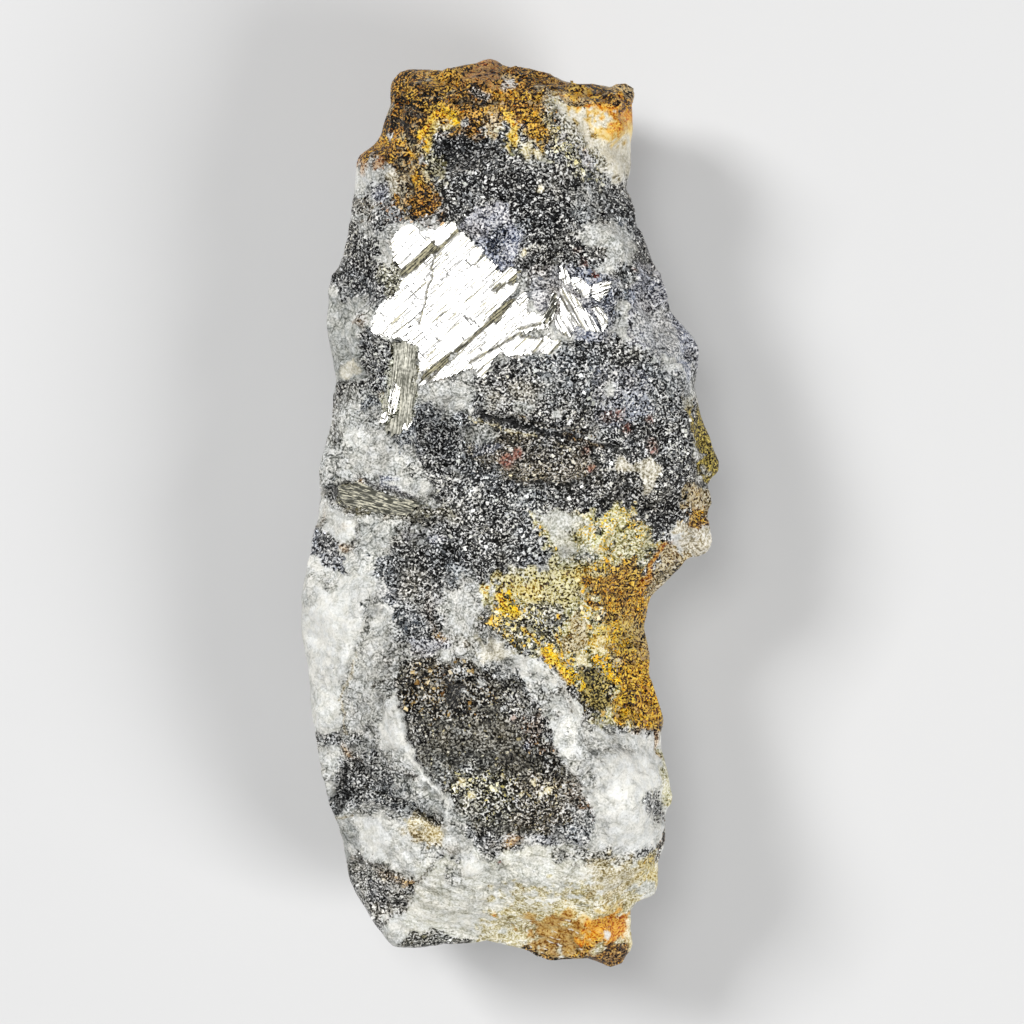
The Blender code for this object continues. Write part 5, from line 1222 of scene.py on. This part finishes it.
    def bump(self, height, depth, strength, normal=None):
        node = self.nodes.new("ShaderNodeBump")
        node.inputs["Strength"].default_value = strength
        node.inputs["Distance"].default_value = depth * MM
        self.links.new(height, node.inputs["Height"])
        if normal is not None:
            self.links.new(normal, node.inputs["Normal"])
        self.links.new(node.outputs["Normal"], self.shader.inputs["Normal"])

    def finish(self, colour, metallic, roughness):
        """Wires the three main sockets of the shader."""
        self.set(self.shader.inputs["Base Color"], colour)
        self.set(self.shader.inputs["Metallic"], metallic)
        self.set(self.shader.inputs["Roughness"], roughness)


def opaque(red, green, blue):
    return red, green, blue, 1.0


# ------------------------------------------------------------------ the stone's material
def salt_and_pepper(w, fine):
    """Light grains and dark ones, partly the ground's own and partly painted glints of its metal grains:
    wandering ridges, wider where coarse, with fine speckle on them.
    """
    coarse = w.attribute("coarse")
    thin = w.ridges(size=0.42, distortion=0.9, width=0.09)
    wide = w.ridges(size=0.70, distortion=1.5, width=0.10)
    ridges = w.plus(thin, w.times(w.most(coarse, 0.0), w.minus(wide, thin)))
    speckle = w.times(fine, w.spread(coarse, -1.0, 0.0, 0.38, 0.85))
    return w.plus(speckle, w.times(ridges, w.spread(coarse, -1.0, 0.0, 0.28, 0.8)))


def sugary_facets(w, fine):
    """Small facets of quartz, each painted lighter or darker as a facet turned to or from the light would
    be, with painted shade in the seams between them and here and there painted glints.
    """
    bent = w.warped(size=1.2, amount=0.35)
    facet = 1.1
    shade = w.spread(w.red_of(w.cells(facet, vector=bent)), 0.0, 1.0, -1.0, 1.0, "LINEAR")
    painted_crease_shade = w.seams(facet, bent, 0.01, 0.07)
    painted_glint = w.seams(0.62, w.warped(size=0.9, amount=0.2), 0.01, 0.08)
    painted_glint = w.times(painted_glint, w.spread(w.noise(size=1.1), 0.45, 0.62, 0.0, 1.0))
    shaded = w.minus(w.times(shade, 0.28), w.times(painted_crease_shade, 0.9))
    return w.plus(shaded, w.plus(w.times(fine, 0.12), w.times(painted_glint, 0.6)))


def wandering_veins(w):
    """Dark veins between light banks, as flowing crust has them."""
    drawn_out = w.vector("MULTIPLY", w.warped(size=2.0, amount=1.6), (0.5, 1.2, 1.0))
    away = w.minus(w.noise(size=1.7, detail=3.0, distortion=1.2, vector=drawn_out), 0.5)
    flow = w.math("ABSOLUTE", away)
    banks = w.minus(w.spread(flow, 0.03, 0.07, 0.0, 0.9), w.spread(flow, 0.07, 0.14, 0.0, 0.8))
    veins = w.spread(flow, 0.0, 0.04, 1.8, 0.0)
    return w.times(w.minus(banks, veins), w.attribute("veins"))


def stone_material():
    """Colour from the coat, broken into light and dark grains, with painted facet shade and painted glints
    on the quartz, and small leaning facets that catch the light.
    """
    w = Wiring("antimony quartz stone")
    grain, metal, sugar, streaks, stain = (
        w.attribute(name) for name in ("grain", "metal", "sugar", "streaks", "stain"))
    fine = w.spread(w.noise(size=0.21, detail=0.0), 0.42, 0.58)
    salt = w.times(salt_and_pepper(w, fine), grain)
    # painted facet shade, painted crease shade and painted glints of the quartz
    sugary = w.times(sugary_facets(w, fine), w.times(sugar, 0.6))
    broad = w.spread(w.noise(size=1.3, detail=2.0), 0.35, 0.65)
    along_foot = w.turned(-FOOT_SLANT, (0.16, 1.0, 1.0))
    streak = w.spread(w.noise(size=0.42, detail=2.0, vector=along_foot), 0.36, 0.64)
    mixed = w.plus(w.plus(salt, sugary), wandering_veins(w))
    mixed = w.plus(mixed, w.times(broad, 0.12))
    mixed = w.plus(mixed, w.times(w.times(streak, streaks), 0.16))

    # stained ground is lifted less and sunk more
    lifted = w.times(w.most(mixed, 0.0), w.spread(stain, 0.0, 1.0, 1.0, 0.25))
    sunk = w.times(w.least(mixed, 0.0), w.spread(stain, 0.0, 1.0, 1.0, 1.2))
    ground = w.gamma(w.attribute("coat", "Color"), w.two_to(w.times(w.plus(lifted, sunk), -2.3)))
    light = w.gamma(w.attribute("fleck", "Color"), w.two_to(w.times(fine, -0.5)))
    ground = w.blend(w.times(w.spread(mixed, 0.1, 1.3, 0.0, 0.9), stain), ground, light)

    # clumped flecks, and pale dashes in the streaks
    share = w.spread(w.attribute("flecks"), 0.0, 1.0, -0.71, -0.30, "LINEAR")
    clumps = w.plus(w.noise(size=0.27, detail=2.0, distortion=1.3), share)
    flecked = w.spread(clumps, -0.015, 0.03, 0.0, 1.0)
    dash = w.noise(size=0.36, vector=w.turned(-FOOT_SLANT, (0.34, 1.0, 1.0)))
    dashed = w.times(w.spread(dash, 0.66, 0.70, 0.0, 0.9), streaks)
    colour = w.blend(dashed, w.blend(flecked, ground, light), opaque(0.84, 0.84, 0.78))

    # warm and neutral clouds over it all
    warmth = w.spread(w.noise(size=0.9, detail=2.0), 0.35, 0.65, 0.0, 1.0)
    tint = w.blend(warmth, opaque(1.025, 1.0, 0.955), opaque(1.0, 1.0, 1.0))
    brightest = (0.92, 0.92, 0.92)
    w.finish(
        w.vector("MINIMUM", w.vector("MULTIPLY", colour, tint), brightest),
        w.times(metal, w.spread(flecked, 0.0, 1.0, 0.9, 0.3)),
        w.spread(fine, -1.0, 1.0, 0.32, 0.6, "LINEAR"))
    w.shader.inputs["Specular IOR Level"].default_value = 0.25
    standing = w.plus(salt, w.times(fine, w.times(sugar, 0.2)))
    leaning = w.leaning(size=0.8, lean=w.times(sugar, 0.55))
    w.bump(w.plus(standing, flecked), depth=0.06, strength=0.7, normal=leaning)
    return w.material


# ------------------------------------------------------------------ the stone
# Its own map: which two axes each side keeps, where it lies on the map, and its scale a millimetre.
Chart = namedtuple("Chart", "right up place scale")
CHARTS = [
    Chart(0, 1, (0.236, 0.500), 0.0120),     # the face
    Chart(0, 1, (0.600, 0.745), 0.0058),     # the back
    Chart(1, 2, (0.735, 0.020), 0.0060),     # the right side
    Chart(1, 2, (0.735, 0.190), 0.0060),     # the left side
    Chart(0, 2, (0.860, 0.520), 0.0060),     # the rusty end
    Chart(0, 2, (0.860, 0.720), 0.0060),     # the foot
]
SIDE_LEAN = 0.25          # a face that leans up or down by less than this share belongs to a side


def unfold(mesh, facing):
    """Lays the stone's face, back and four sides out flat on one map, by the way its ground faces."""
    corners = np.empty(len(mesh.loops), dtype=np.int32)
    mesh.loops.foreach_get("vertex_index", corners)
    x, y, z = facing[corners].reshape(-1, 3, 3).mean(axis=1).T
    ends = np.where(y > 0.0, 4, 5)
    sides = np.where(np.abs(x) > np.abs(y), np.where(x > 0.0, 2, 3), ends)
    kind = np.repeat(np.where(np.abs(z) < SIDE_LEAN, sides, np.where(z > 0.0, 0, 1)), 3)
    placed = points_of(mesh)[corners]
    spots = np.zeros((len(corners), 2))
    for k, chart in enumerate(CHARTS):
        own = kind == k
        spots[own] = np.array(chart.place) + placed[own][:, [chart.right, chart.up]] * chart.scale
    mesh.uv_layers.new(name="OFBake").data.foreach_set("uv", np.clip(spots, 0.0, 1.0).ravel())


def add_piece(name, mesh, material):
    """Puts a finished mesh in the scene as a piece that goes with the stone."""
    mesh.name = name
    mesh.materials.clear()
    mesh.materials.append(material)
    piece = bpy.data.objects.new(name, mesh)
    bpy.context.scene.collection.objects.link(piece)
    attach(piece, "root")
    return piece


def cleavage_planes(points, facing):
    """The plane of each cleavage slab. The bright ones all lean as the first does."""
    planes = [plane_under(points, facing, cleavage.corners) for cleavage in CLEAVAGES]
    for cleavage, plane in zip(CLEAVAGES, planes):
        middle = np.mean(cleavage.corners, axis=0)
        level = height_on(plane, middle) + cleavage.lift
        if cleavage.olive < 0.5:
            plane[1:] = planes[0][1:]
        plane[0] = level - middle @ plane[1:]
    return planes


def make_stone():
    """The stone and the grains that stand on it; gives the planes of its cleavage slabs."""
    mesh = stone_ground()
    points = points_of(mesh)
    facing = directions_of(mesh)
    coat = coat_of(points, facing)
    planes = cleavage_planes(points, facing)
    shaped = points + facing * relief(points, coat)[:, None]
    shaped[:, 2] += ease(facing[:, 2], 0.2, 0.7) * face_forms(points)
    shaped = flattened(shaped, facing, planes)
    shaped[:, 2] = np.maximum(shaped[:, 2], 0.0)
    shaped = held_to_outline(shaped)
    move_points(mesh, shaped)
    keep_colour(mesh, "coat", coat.colour)
    keep_colour(mesh, "fleck", coat.fleck)
    for name, held in coat.values.items():
        keep_value(mesh, name, held)
    unfold(mesh, facing)
    mesh.shade_smooth()
    stone = add_piece("stone", mesh, stone_material())
    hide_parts("antimony_quartz_stone")
    make_grains(shaped, facing, coat)
    return planes


# ------------------------------------------------------------------ grains that stand out
def grain_mesh(name, middles, axes, tones, metals):
    """Small angular grains as one mesh, each with its own tone."""
    bm = bmesh.new()
    bmesh.ops.create_cube(bm, size=1.5)
    pattern = bpy.data.meshes.new("grain pattern")
    bm.to_mesh(pattern)
    bm.free()
    corners = np.empty(len(pattern.vertices) * 3)
    pattern.vertices.foreach_get("co", corners)
    corners = corners.reshape(-1, 3)
    count = len(corners)
    pairs = np.meshgrid(np.arange(len(middles)), np.arange(count), [0], indexing="ij")
    ids = np.stack(pairs, axis=-1).reshape(-1, 3)
    stretch = 0.55 + 0.8 * cell_random(ids, seed=511).reshape(len(middles), count, 1)
    placed = middles[:, None, :] + np.einsum("kj,nji->nki", corners, axes) * stretch
    bm = bmesh.new()
    for shape in placed * MM:
        pattern.vertices.foreach_set("co", shape.ravel())
        bm.from_mesh(pattern)
    mesh = bpy.data.meshes.new(name)
    bm.to_mesh(mesh)
    bm.free()
    keep_colour(mesh, "tone", np.repeat(tones, count, axis=0))
    keep_value(mesh, "metal", np.repeat(metals, count))
    return mesh


def grain_material(name):
    """One tone a grain, with a little unevenness on its faces."""
    w = Wiring(name)
    uneven = w.spread(w.noise(size=0.15), 0.35, 0.65)
    tone = w.gamma(w.attribute("tone", "Color"), w.two_to(w.times(uneven, -0.35)))
    w.finish(tone, w.attribute("metal"), w.spread(uneven, -1.0, 1.0, 0.28, 0.5, "LINEAR"))
    w.shader.inputs["Specular IOR Level"].default_value = 0.4
    w.bump(uneven, depth=0.02, strength=0.4)
    return w.material


def grain_sites(points, facing, coat):
    """One point for each cell of the face that may carry a grain, and its cell."""
    on_face = (facing[:, 2] > 0.05) & (points[:, 2] > FACE_FROM_Z) & (coat.cut < 0.08)
    on_face &= depth_inside(points[:, :2], OUTLINE) > 0.4
    for cleavage in CLEAVAGES:
        on_face &= depth_inside(drawn(points), cleavage.corners) < 0.1
    sites = np.flatnonzero(on_face)
    cells = np.floor(points[sites] / GRAIN_PITCH).astype(np.int64)
    _, first = np.unique(cells, axis=0, return_index=True)
    return sites[first], cells[first]


def grain_axes(turn, tip, size):
    """The three half axes of each grain, turned and tipped its own way."""
    run = np.stack([np.cos(turn) * np.cos(tip), np.sin(turn) * np.cos(tip), np.sin(tip)], axis=1)
    side = np.stack([-np.sin(turn), np.cos(turn), np.zeros(len(turn))], axis=1)
    up = np.cross(run, side)
    return np.stack([run * 1.25, side * 0.85, up * 0.7], axis=1) * size[:, None, None]


def make_grains(points, facing, coat):
    """Grains that stand out of the ground: metallic ones, quartz and rusty crumbs."""
    sites, cells = grain_sites(points, facing, coat)
    luck = [cell_random(cells, seed) for seed in range(521, 527)]
    grain, metal, stain, streaks, coarse, flecks = (
        coat.values[name][sites] for name in ("grain", "metal", "stain", "streaks", "coarse", "flecks"))
    size = (GRAIN_HALF + GRAIN_MORE * luck[0] ** 2) * (1.0 + 0.15 * coarse)
    axes = grain_axes(2.0 * np.pi * luck[1], 0.9 * (luck[2] - 0.5), size)
    middles = points[sites] - facing[sites] * (GRAIN_SUNK * size)[:, None]
    is_fleck = luck[3] < flecks + 0.08
    tones = np.where((is_fleck & (stain < 0.5))[:, None], coat.fleck[sites], coat.colour[sites])
    swing = (2.0 * luck[4] - 1.0) * (0.4 + 0.8 * grain) * (1.0 - 0.5 * stain)
    tones = np.clip(tones, 0.004, 0.9) ** (2.0 ** -swing)[:, None]
    metallic = (metal > 0.15) & (stain < 0.5)
    rusty = stain >= 0.5
    kept = luck[5] < np.where(metallic, 0.7, 0.6 * ease(grain, 0.25, 0.8) - 0.3 * stain - 0.1 * streaks)
    for name, kind, slot in (("metallic_grains", metallic, "antimony"), ("stained_grains", rusty, "stone"),
                             ("quartz_grains", ~metallic & ~rusty, "stone")):
        k = kind & kept
        metals = np.where(is_fleck[k], 0.2, 0.85) * metallic[k]
        mesh = grain_mesh(name, middles[k], axes[k], tones[k], metals)
        add_piece(name, mesh, grain_material(name.replace("_", " ")))


# ------------------------------------------------------------------ bright antimony
def plane_under(points, facing, corners):
    """The plane through the stone's face within an outline: its height at 0, and its rise along x and y."""
    on_face = (depth_inside(drawn(points), corners) > 0.0) & (facing[:, 2] > 0.7)
    chosen = points[on_face]
    across = np.column_stack([np.ones(len(chosen)), chosen[:, :2]])
    return np.linalg.lstsq(across, chosen[:, 2], rcond=None)[0]


def height_on(plane, places):
    return plane[0] + places @ plane[1:]


def flattened(points, facing, planes):
    """The stone drawn flat and a little down under each cleavage slab."""
    moved = points.copy()
    places = drawn(points) + 0.15 * clouds(points, size=1.0, seed=301)[:, None]
    for cleavage, plane in zip(CLEAVAGES, planes):
        depth = depth_inside(places, cleavage.corners)
        share = ease(depth, -0.5, 0.1) * ease(facing[:, 2], 0.2, 0.6)
        goal = height_on(plane, points[:, :2]) - SLAB_RISE
        moved[:, 2] += share * (goal - moved[:, 2])
    return moved


# The terraces of a slab, from coarse to fine: how wide they are, how long as a share of its step, and
# how far they rise.
TERRACES = [(0.95, 1.6, 0.15), (0.44, 1.0, 0.09), (0.22, 0.6, 0.035)]


def flat_points(places):
    """Places on a plane as points in space."""
    return np.column_stack([places, np.zeros(len(places))])


def lamella_heights(grid, step, seed):
    """Terraces that run along the lamellae."""
    along, across = grid.T
    drift = 0.5 * swell(flat_points(grid) / (3.0, 0.8, 1.0), 1.0, seed)
    heights = np.zeros(len(grid))
    for width, length, rise in TERRACES:
        lamella = np.floor(across / width + drift).astype(np.int64)
        zeros = np.zeros_like(lamella)
        shift = 9.0 * cell_random(np.column_stack([lamella, zeros, zeros]), seed + 1)
        part = np.floor(along / (step * length) + shift).astype(np.int64)
        heights += rise * (cell_random(np.column_stack([lamella, part, zeros]), seed + 2) - 0.5)
    return heights


def gaps_at(places, fibres, seed):
    """How much of a gap there is at each place, how much of its rim, and how deep it is cut."""
    gap, rim, cut = np.zeros((3, len(places)))
    for run, width, deep in GAPS:
        away = gap_to_line(places, run) + 0.35 * width * swell(fibres, 1.0, seed)
        share = 1.0 - ease(away, width * 0.38, width * 0.38 + 0.12)
        gap = np.maximum(gap, share)
        rim = np.maximum(rim, 1.0 - ease(np.abs(away - width * 0.45), 0.02, 0.12))
        cut = np.maximum(cut, share * deep)
    return gap, rim, cut


def trim(bm, verts, depth):
    """Cuts away the faces that reach over the outline, and the points that are left alone."""
    outside = {vert for vert, d in zip(verts, depth) if d < 0.0}
    faces = {face for vert in verts for face in vert.link_faces}
    bmesh.ops.delete(bm, geom=[f for f in faces if any(v in outside for v in f.verts)], context="FACES")
    kept = [vert for vert in verts if vert.is_valid]
    bmesh.ops.delete(bm, geom=[vert for vert in kept if not vert.link_faces], context="VERTS")
    return list({face for vert in verts if vert.is_valid for face in vert.link_faces})


def add_cleavage(bm, cleavage, plane, seed):
    """One stepped slab on a grid that lies along its lamellae, let into the stone."""
    corners = np.array(cleavage.corners)
    middle = corners.mean(axis=0)
    turn = np.radians(cleavage.turn)
    run = np.array((np.cos(turn), np.sin(turn)))
    side = np.array((-np.sin(turn), np.cos(turn)))
    reach = np.abs((corners - middle) @ np.column_stack([run, side])).max(axis=0) + 0.3
    across, up = (int(count) for count in np.ceil(2.0 * reach / SLAB_PITCH))
    verts = bmesh.ops.create_grid(bm, x_segments=across, y_segments=up, size=1.0)["verts"]
    grid = np.array([vert.co[:2] for vert in verts]) * reach
    places = middle + grid[:, :1] * run + grid[:, 1:] * side

    wander = [clouds(flat_points(places), size=0.9, seed=seed + k) for k in (5, 6)]
    fibres = flat_points(grid / (1.6, 0.16))
    ragged = cleavage.ragged * np.stack(wander, axis=1)
    ragged += 1.5 * cleavage.ragged * swell(fibres, 1.0, seed + 7)[:, None] * run
    depth = depth_inside(places + ragged, cleavage.corners)
    gap, rim, cut = gaps_at(places + 0.5 * ragged, fibres, seed + 8)
    if cleavage.olive > 0.35:
        gap = np.maximum(gap, 0.93)
    crumbs = ease(depth_inside(places + ragged, CRUMBLED), -0.3, 0.8) * 0.36
    crumbs = np.maximum(np.maximum(cleavage.crumbs, crumbs), 0.4 * (1.0 - ease(depth, 0.05, 0.40)))

    placed = places * (SEEN_FROM - height_on(plane, middle)) / (SEEN_FROM - WAIST_HEIGHT)
    heights = height_on(plane, placed) + lamella_heights(grid, cleavage.step, seed) + SLAB_RISE - cut
    run_layer = bm.verts.layers.float_vector["run"]
    for vert, (x, y), z, (u, v) in zip(verts, placed, heights, grid):
        vert.co = (x * MM, y * MM, z * MM)
        vert[run_layer] = (u, v + 40.0 * seed, 0.0)
    olive = np.full(len(places), cleavage.olive)
    for name, values in (("gap", gap), ("rim", rim), ("crumbs", crumbs), ("olive", olive)):
        layer = bm.verts.layers.float[name]
        for vert, value in zip(verts, values):
            vert[layer] = value

    # the faces that are extruded stay behind, and become the underside
    underside = trim(bm, verts, depth)
    bmesh.ops.extrude_face_region(bm, geom=underside)
    for vert in {vert for face in underside for vert in face.verts}:
        below = height_on(plane, np.array(vert.co[:2]) / MM) - SLAB_DEPTH
        vert.co.z = below * MM


def make_cleavages(planes):
    bm = bmesh.new()
    for name in ("gap", "rim", "crumbs", "olive"):
        bm.verts.layers.float.new(name)
    bm.verts.layers.float_vector.new("run")
    for k, (cleavage, plane) in enumerate(zip(CLEAVAGES, planes)):
        add_cleavage(bm, cleavage, plane, seed=401 + 20 * k)
    bmesh.ops.recalc_face_normals(bm, faces=bm.faces)
    mesh = bpy.data.meshes.new("antimony_cleavage")
    bm.to_mesh(mesh)
    bm.free()
    mesh.shade_smooth()
    mesh.set_sharp_from_angle(angle=0.5)
    add_piece("antimony_cleavage", mesh, antimony_material())


def antimony_material():
    """Silver-white metal with fine lines along its lamellae, olive fibrous gaps and crumbling edges."""
    w = Wiring("bright antimony")
    run = w.attribute("run", "Vector")
    gap, olive = w.attribute("gap"), w.attribute("olive")

    def along_lamellae(stretch, detail=1.0):
        """Noise drawn out along the lamellae, whose places are kept in millimetres."""
        return w.noise(1.0 / MM, detail, vector=w.vector("MULTIPLY", run, stretch))

    lines = along_lamellae((0.30, 7.0, 1.0), detail=2.0)
    fibres = along_lamellae((0.5, 9.0, 1.0), detail=2.0)
    dashes = along_lamellae((1.2, 6.6, 1.0))
    short = w.spread(along_lamellae((1.1, 6.0, 1.0)), 0.63, 0.69, 0.0, 1.0)
    where = w.spread(along_lamellae((0.30, 0.55, 1.0)), 0.50, 0.66, 0.0, 1.0)
    streak = w.times(short, where)
    crumbs = w.spread(w.attribute("crumbs"), 0.0, 1.0, -0.76, -0.38, "LINEAR")
    speck = w.spread(w.plus(dashes, crumbs), -0.01, 0.03, 0.0, 1.0)
    rim = w.times(w.attribute("rim"), w.spread(dashes, 0.46, 0.54, 0.0, 0.7))
    thin = w.spread(lines, 0.415, 0.445, 0.85, 0.0)
    hard = w.most(w.most(w.times(streak, 0.65), speck), rim)
    dark = w.most(w.most(hard, gap), thin)
    uneven = w.spread(w.noise(size=0.24, detail=0.0), 0.40, 0.60, -0.25, 0.25)
    hatch = w.plus(w.spread(fibres, 0.42, 0.58, 0.0, 0.9), uneven)
    hatch = w.least(hatch, w.spread(hard, 0.0, 0.8, 1.0, 0.0))

    # each pair: on bright antimony, on olive metal
    light = w.blend(olive, opaque(0.40, 0.37, 0.24), opaque(0.76, 0.74, 0.64))
    deep = w.blend(olive, opaque(0.016, 0.015, 0.010), opaque(0.12, 0.12, 0.09))
    metal = w.blend(olive, opaque(0.97, 0.96, 0.93), opaque(0.70, 0.68, 0.58))
    w.finish(
        w.blend(dark, metal, w.blend(hatch, deep, light)),
        w.spread(dark, 0.0, 1.0, 1.0, 0.5, "LINEAR"),
        w.spread(dark, 0.0, 1.0, 0.30, 0.6, "LINEAR"))
    w.bump(w.minus(lines, w.times(dark, 0.6)), depth=0.05, strength=0.5)
    return w.material


# ------------------------------------------------------------------ floor, light and camera
def make_floor():
    bm = bmesh.new()
    bmesh.ops.create_grid(bm, x_segments=1, y_segments=1, size=0.6)
    mesh = bpy.data.meshes.new("floor")
    bm.to_mesh(mesh)
    bm.free()
    floor = bpy.data.objects.new("floor", mesh)
    bpy.context.scene.collection.objects.link(floor)
    w = Wiring("pale floor")
    w.shader.inputs["Base Color"].default_value = opaque(0.6, 0.6, 0.6)
    w.shader.inputs["Roughness"].default_value = 0.8
    mesh.materials.append(w.material)


def make_light(name, place, size, power):
    """A square lamp, turned to the stone. Its place and size are in metres, its power in watts."""
    light = bpy.data.lights.new(name, "AREA")
    light.shape = "SQUARE"
    light.size = size
    light.energy = power
    lamp = bpy.data.objects.new(name, light)
    lamp.location = place
    lamp.rotation_euler = Vector(place).to_track_quat("Z", "Y").to_euler()
    bpy.context.scene.collection.objects.link(lamp)


def make_camera():
    """Straight above the face, just wide enough for the view at the height of the waist."""
    camera = bpy.data.cameras.new("camera")
    camera.sensor_width = 36.0
    camera.lens = camera.sensor_width * (SEEN_FROM - WAIST_HEIGHT) / SEEN_WIDTH
    holder = bpy.data.objects.new("camera", camera)
    holder.location = Vector((SEEN_MIDDLE, SEEN_MIDDLE, SEEN_FROM)) * MM
    bpy.context.scene.collection.objects.link(holder)
    bpy.context.scene.camera = holder


def make_world():
    world = bpy.data.worlds.new("studio")
    world.use_nodes = True
    background = world.node_tree.nodes["Background"]
    background.inputs["Color"].default_value = opaque(1.0, 1.0, 1.0)
    background.inputs["Strength"].default_value = 0.20
    bpy.context.scene.world = world


make_cleavages(make_stone())
make_floor()
make_light("key", place=(-0.50, 0.30, 0.62), size=0.24, power=5.1)
make_light("fill", place=(0.54, -0.34, 0.50), size=0.34, power=5.0)
make_light("mirror", place=(-0.16, 0.18, 1.0), size=0.30, power=2.4)
make_camera()
make_world()
bpy.context.scene.view_settings.view_transform = "Standard"
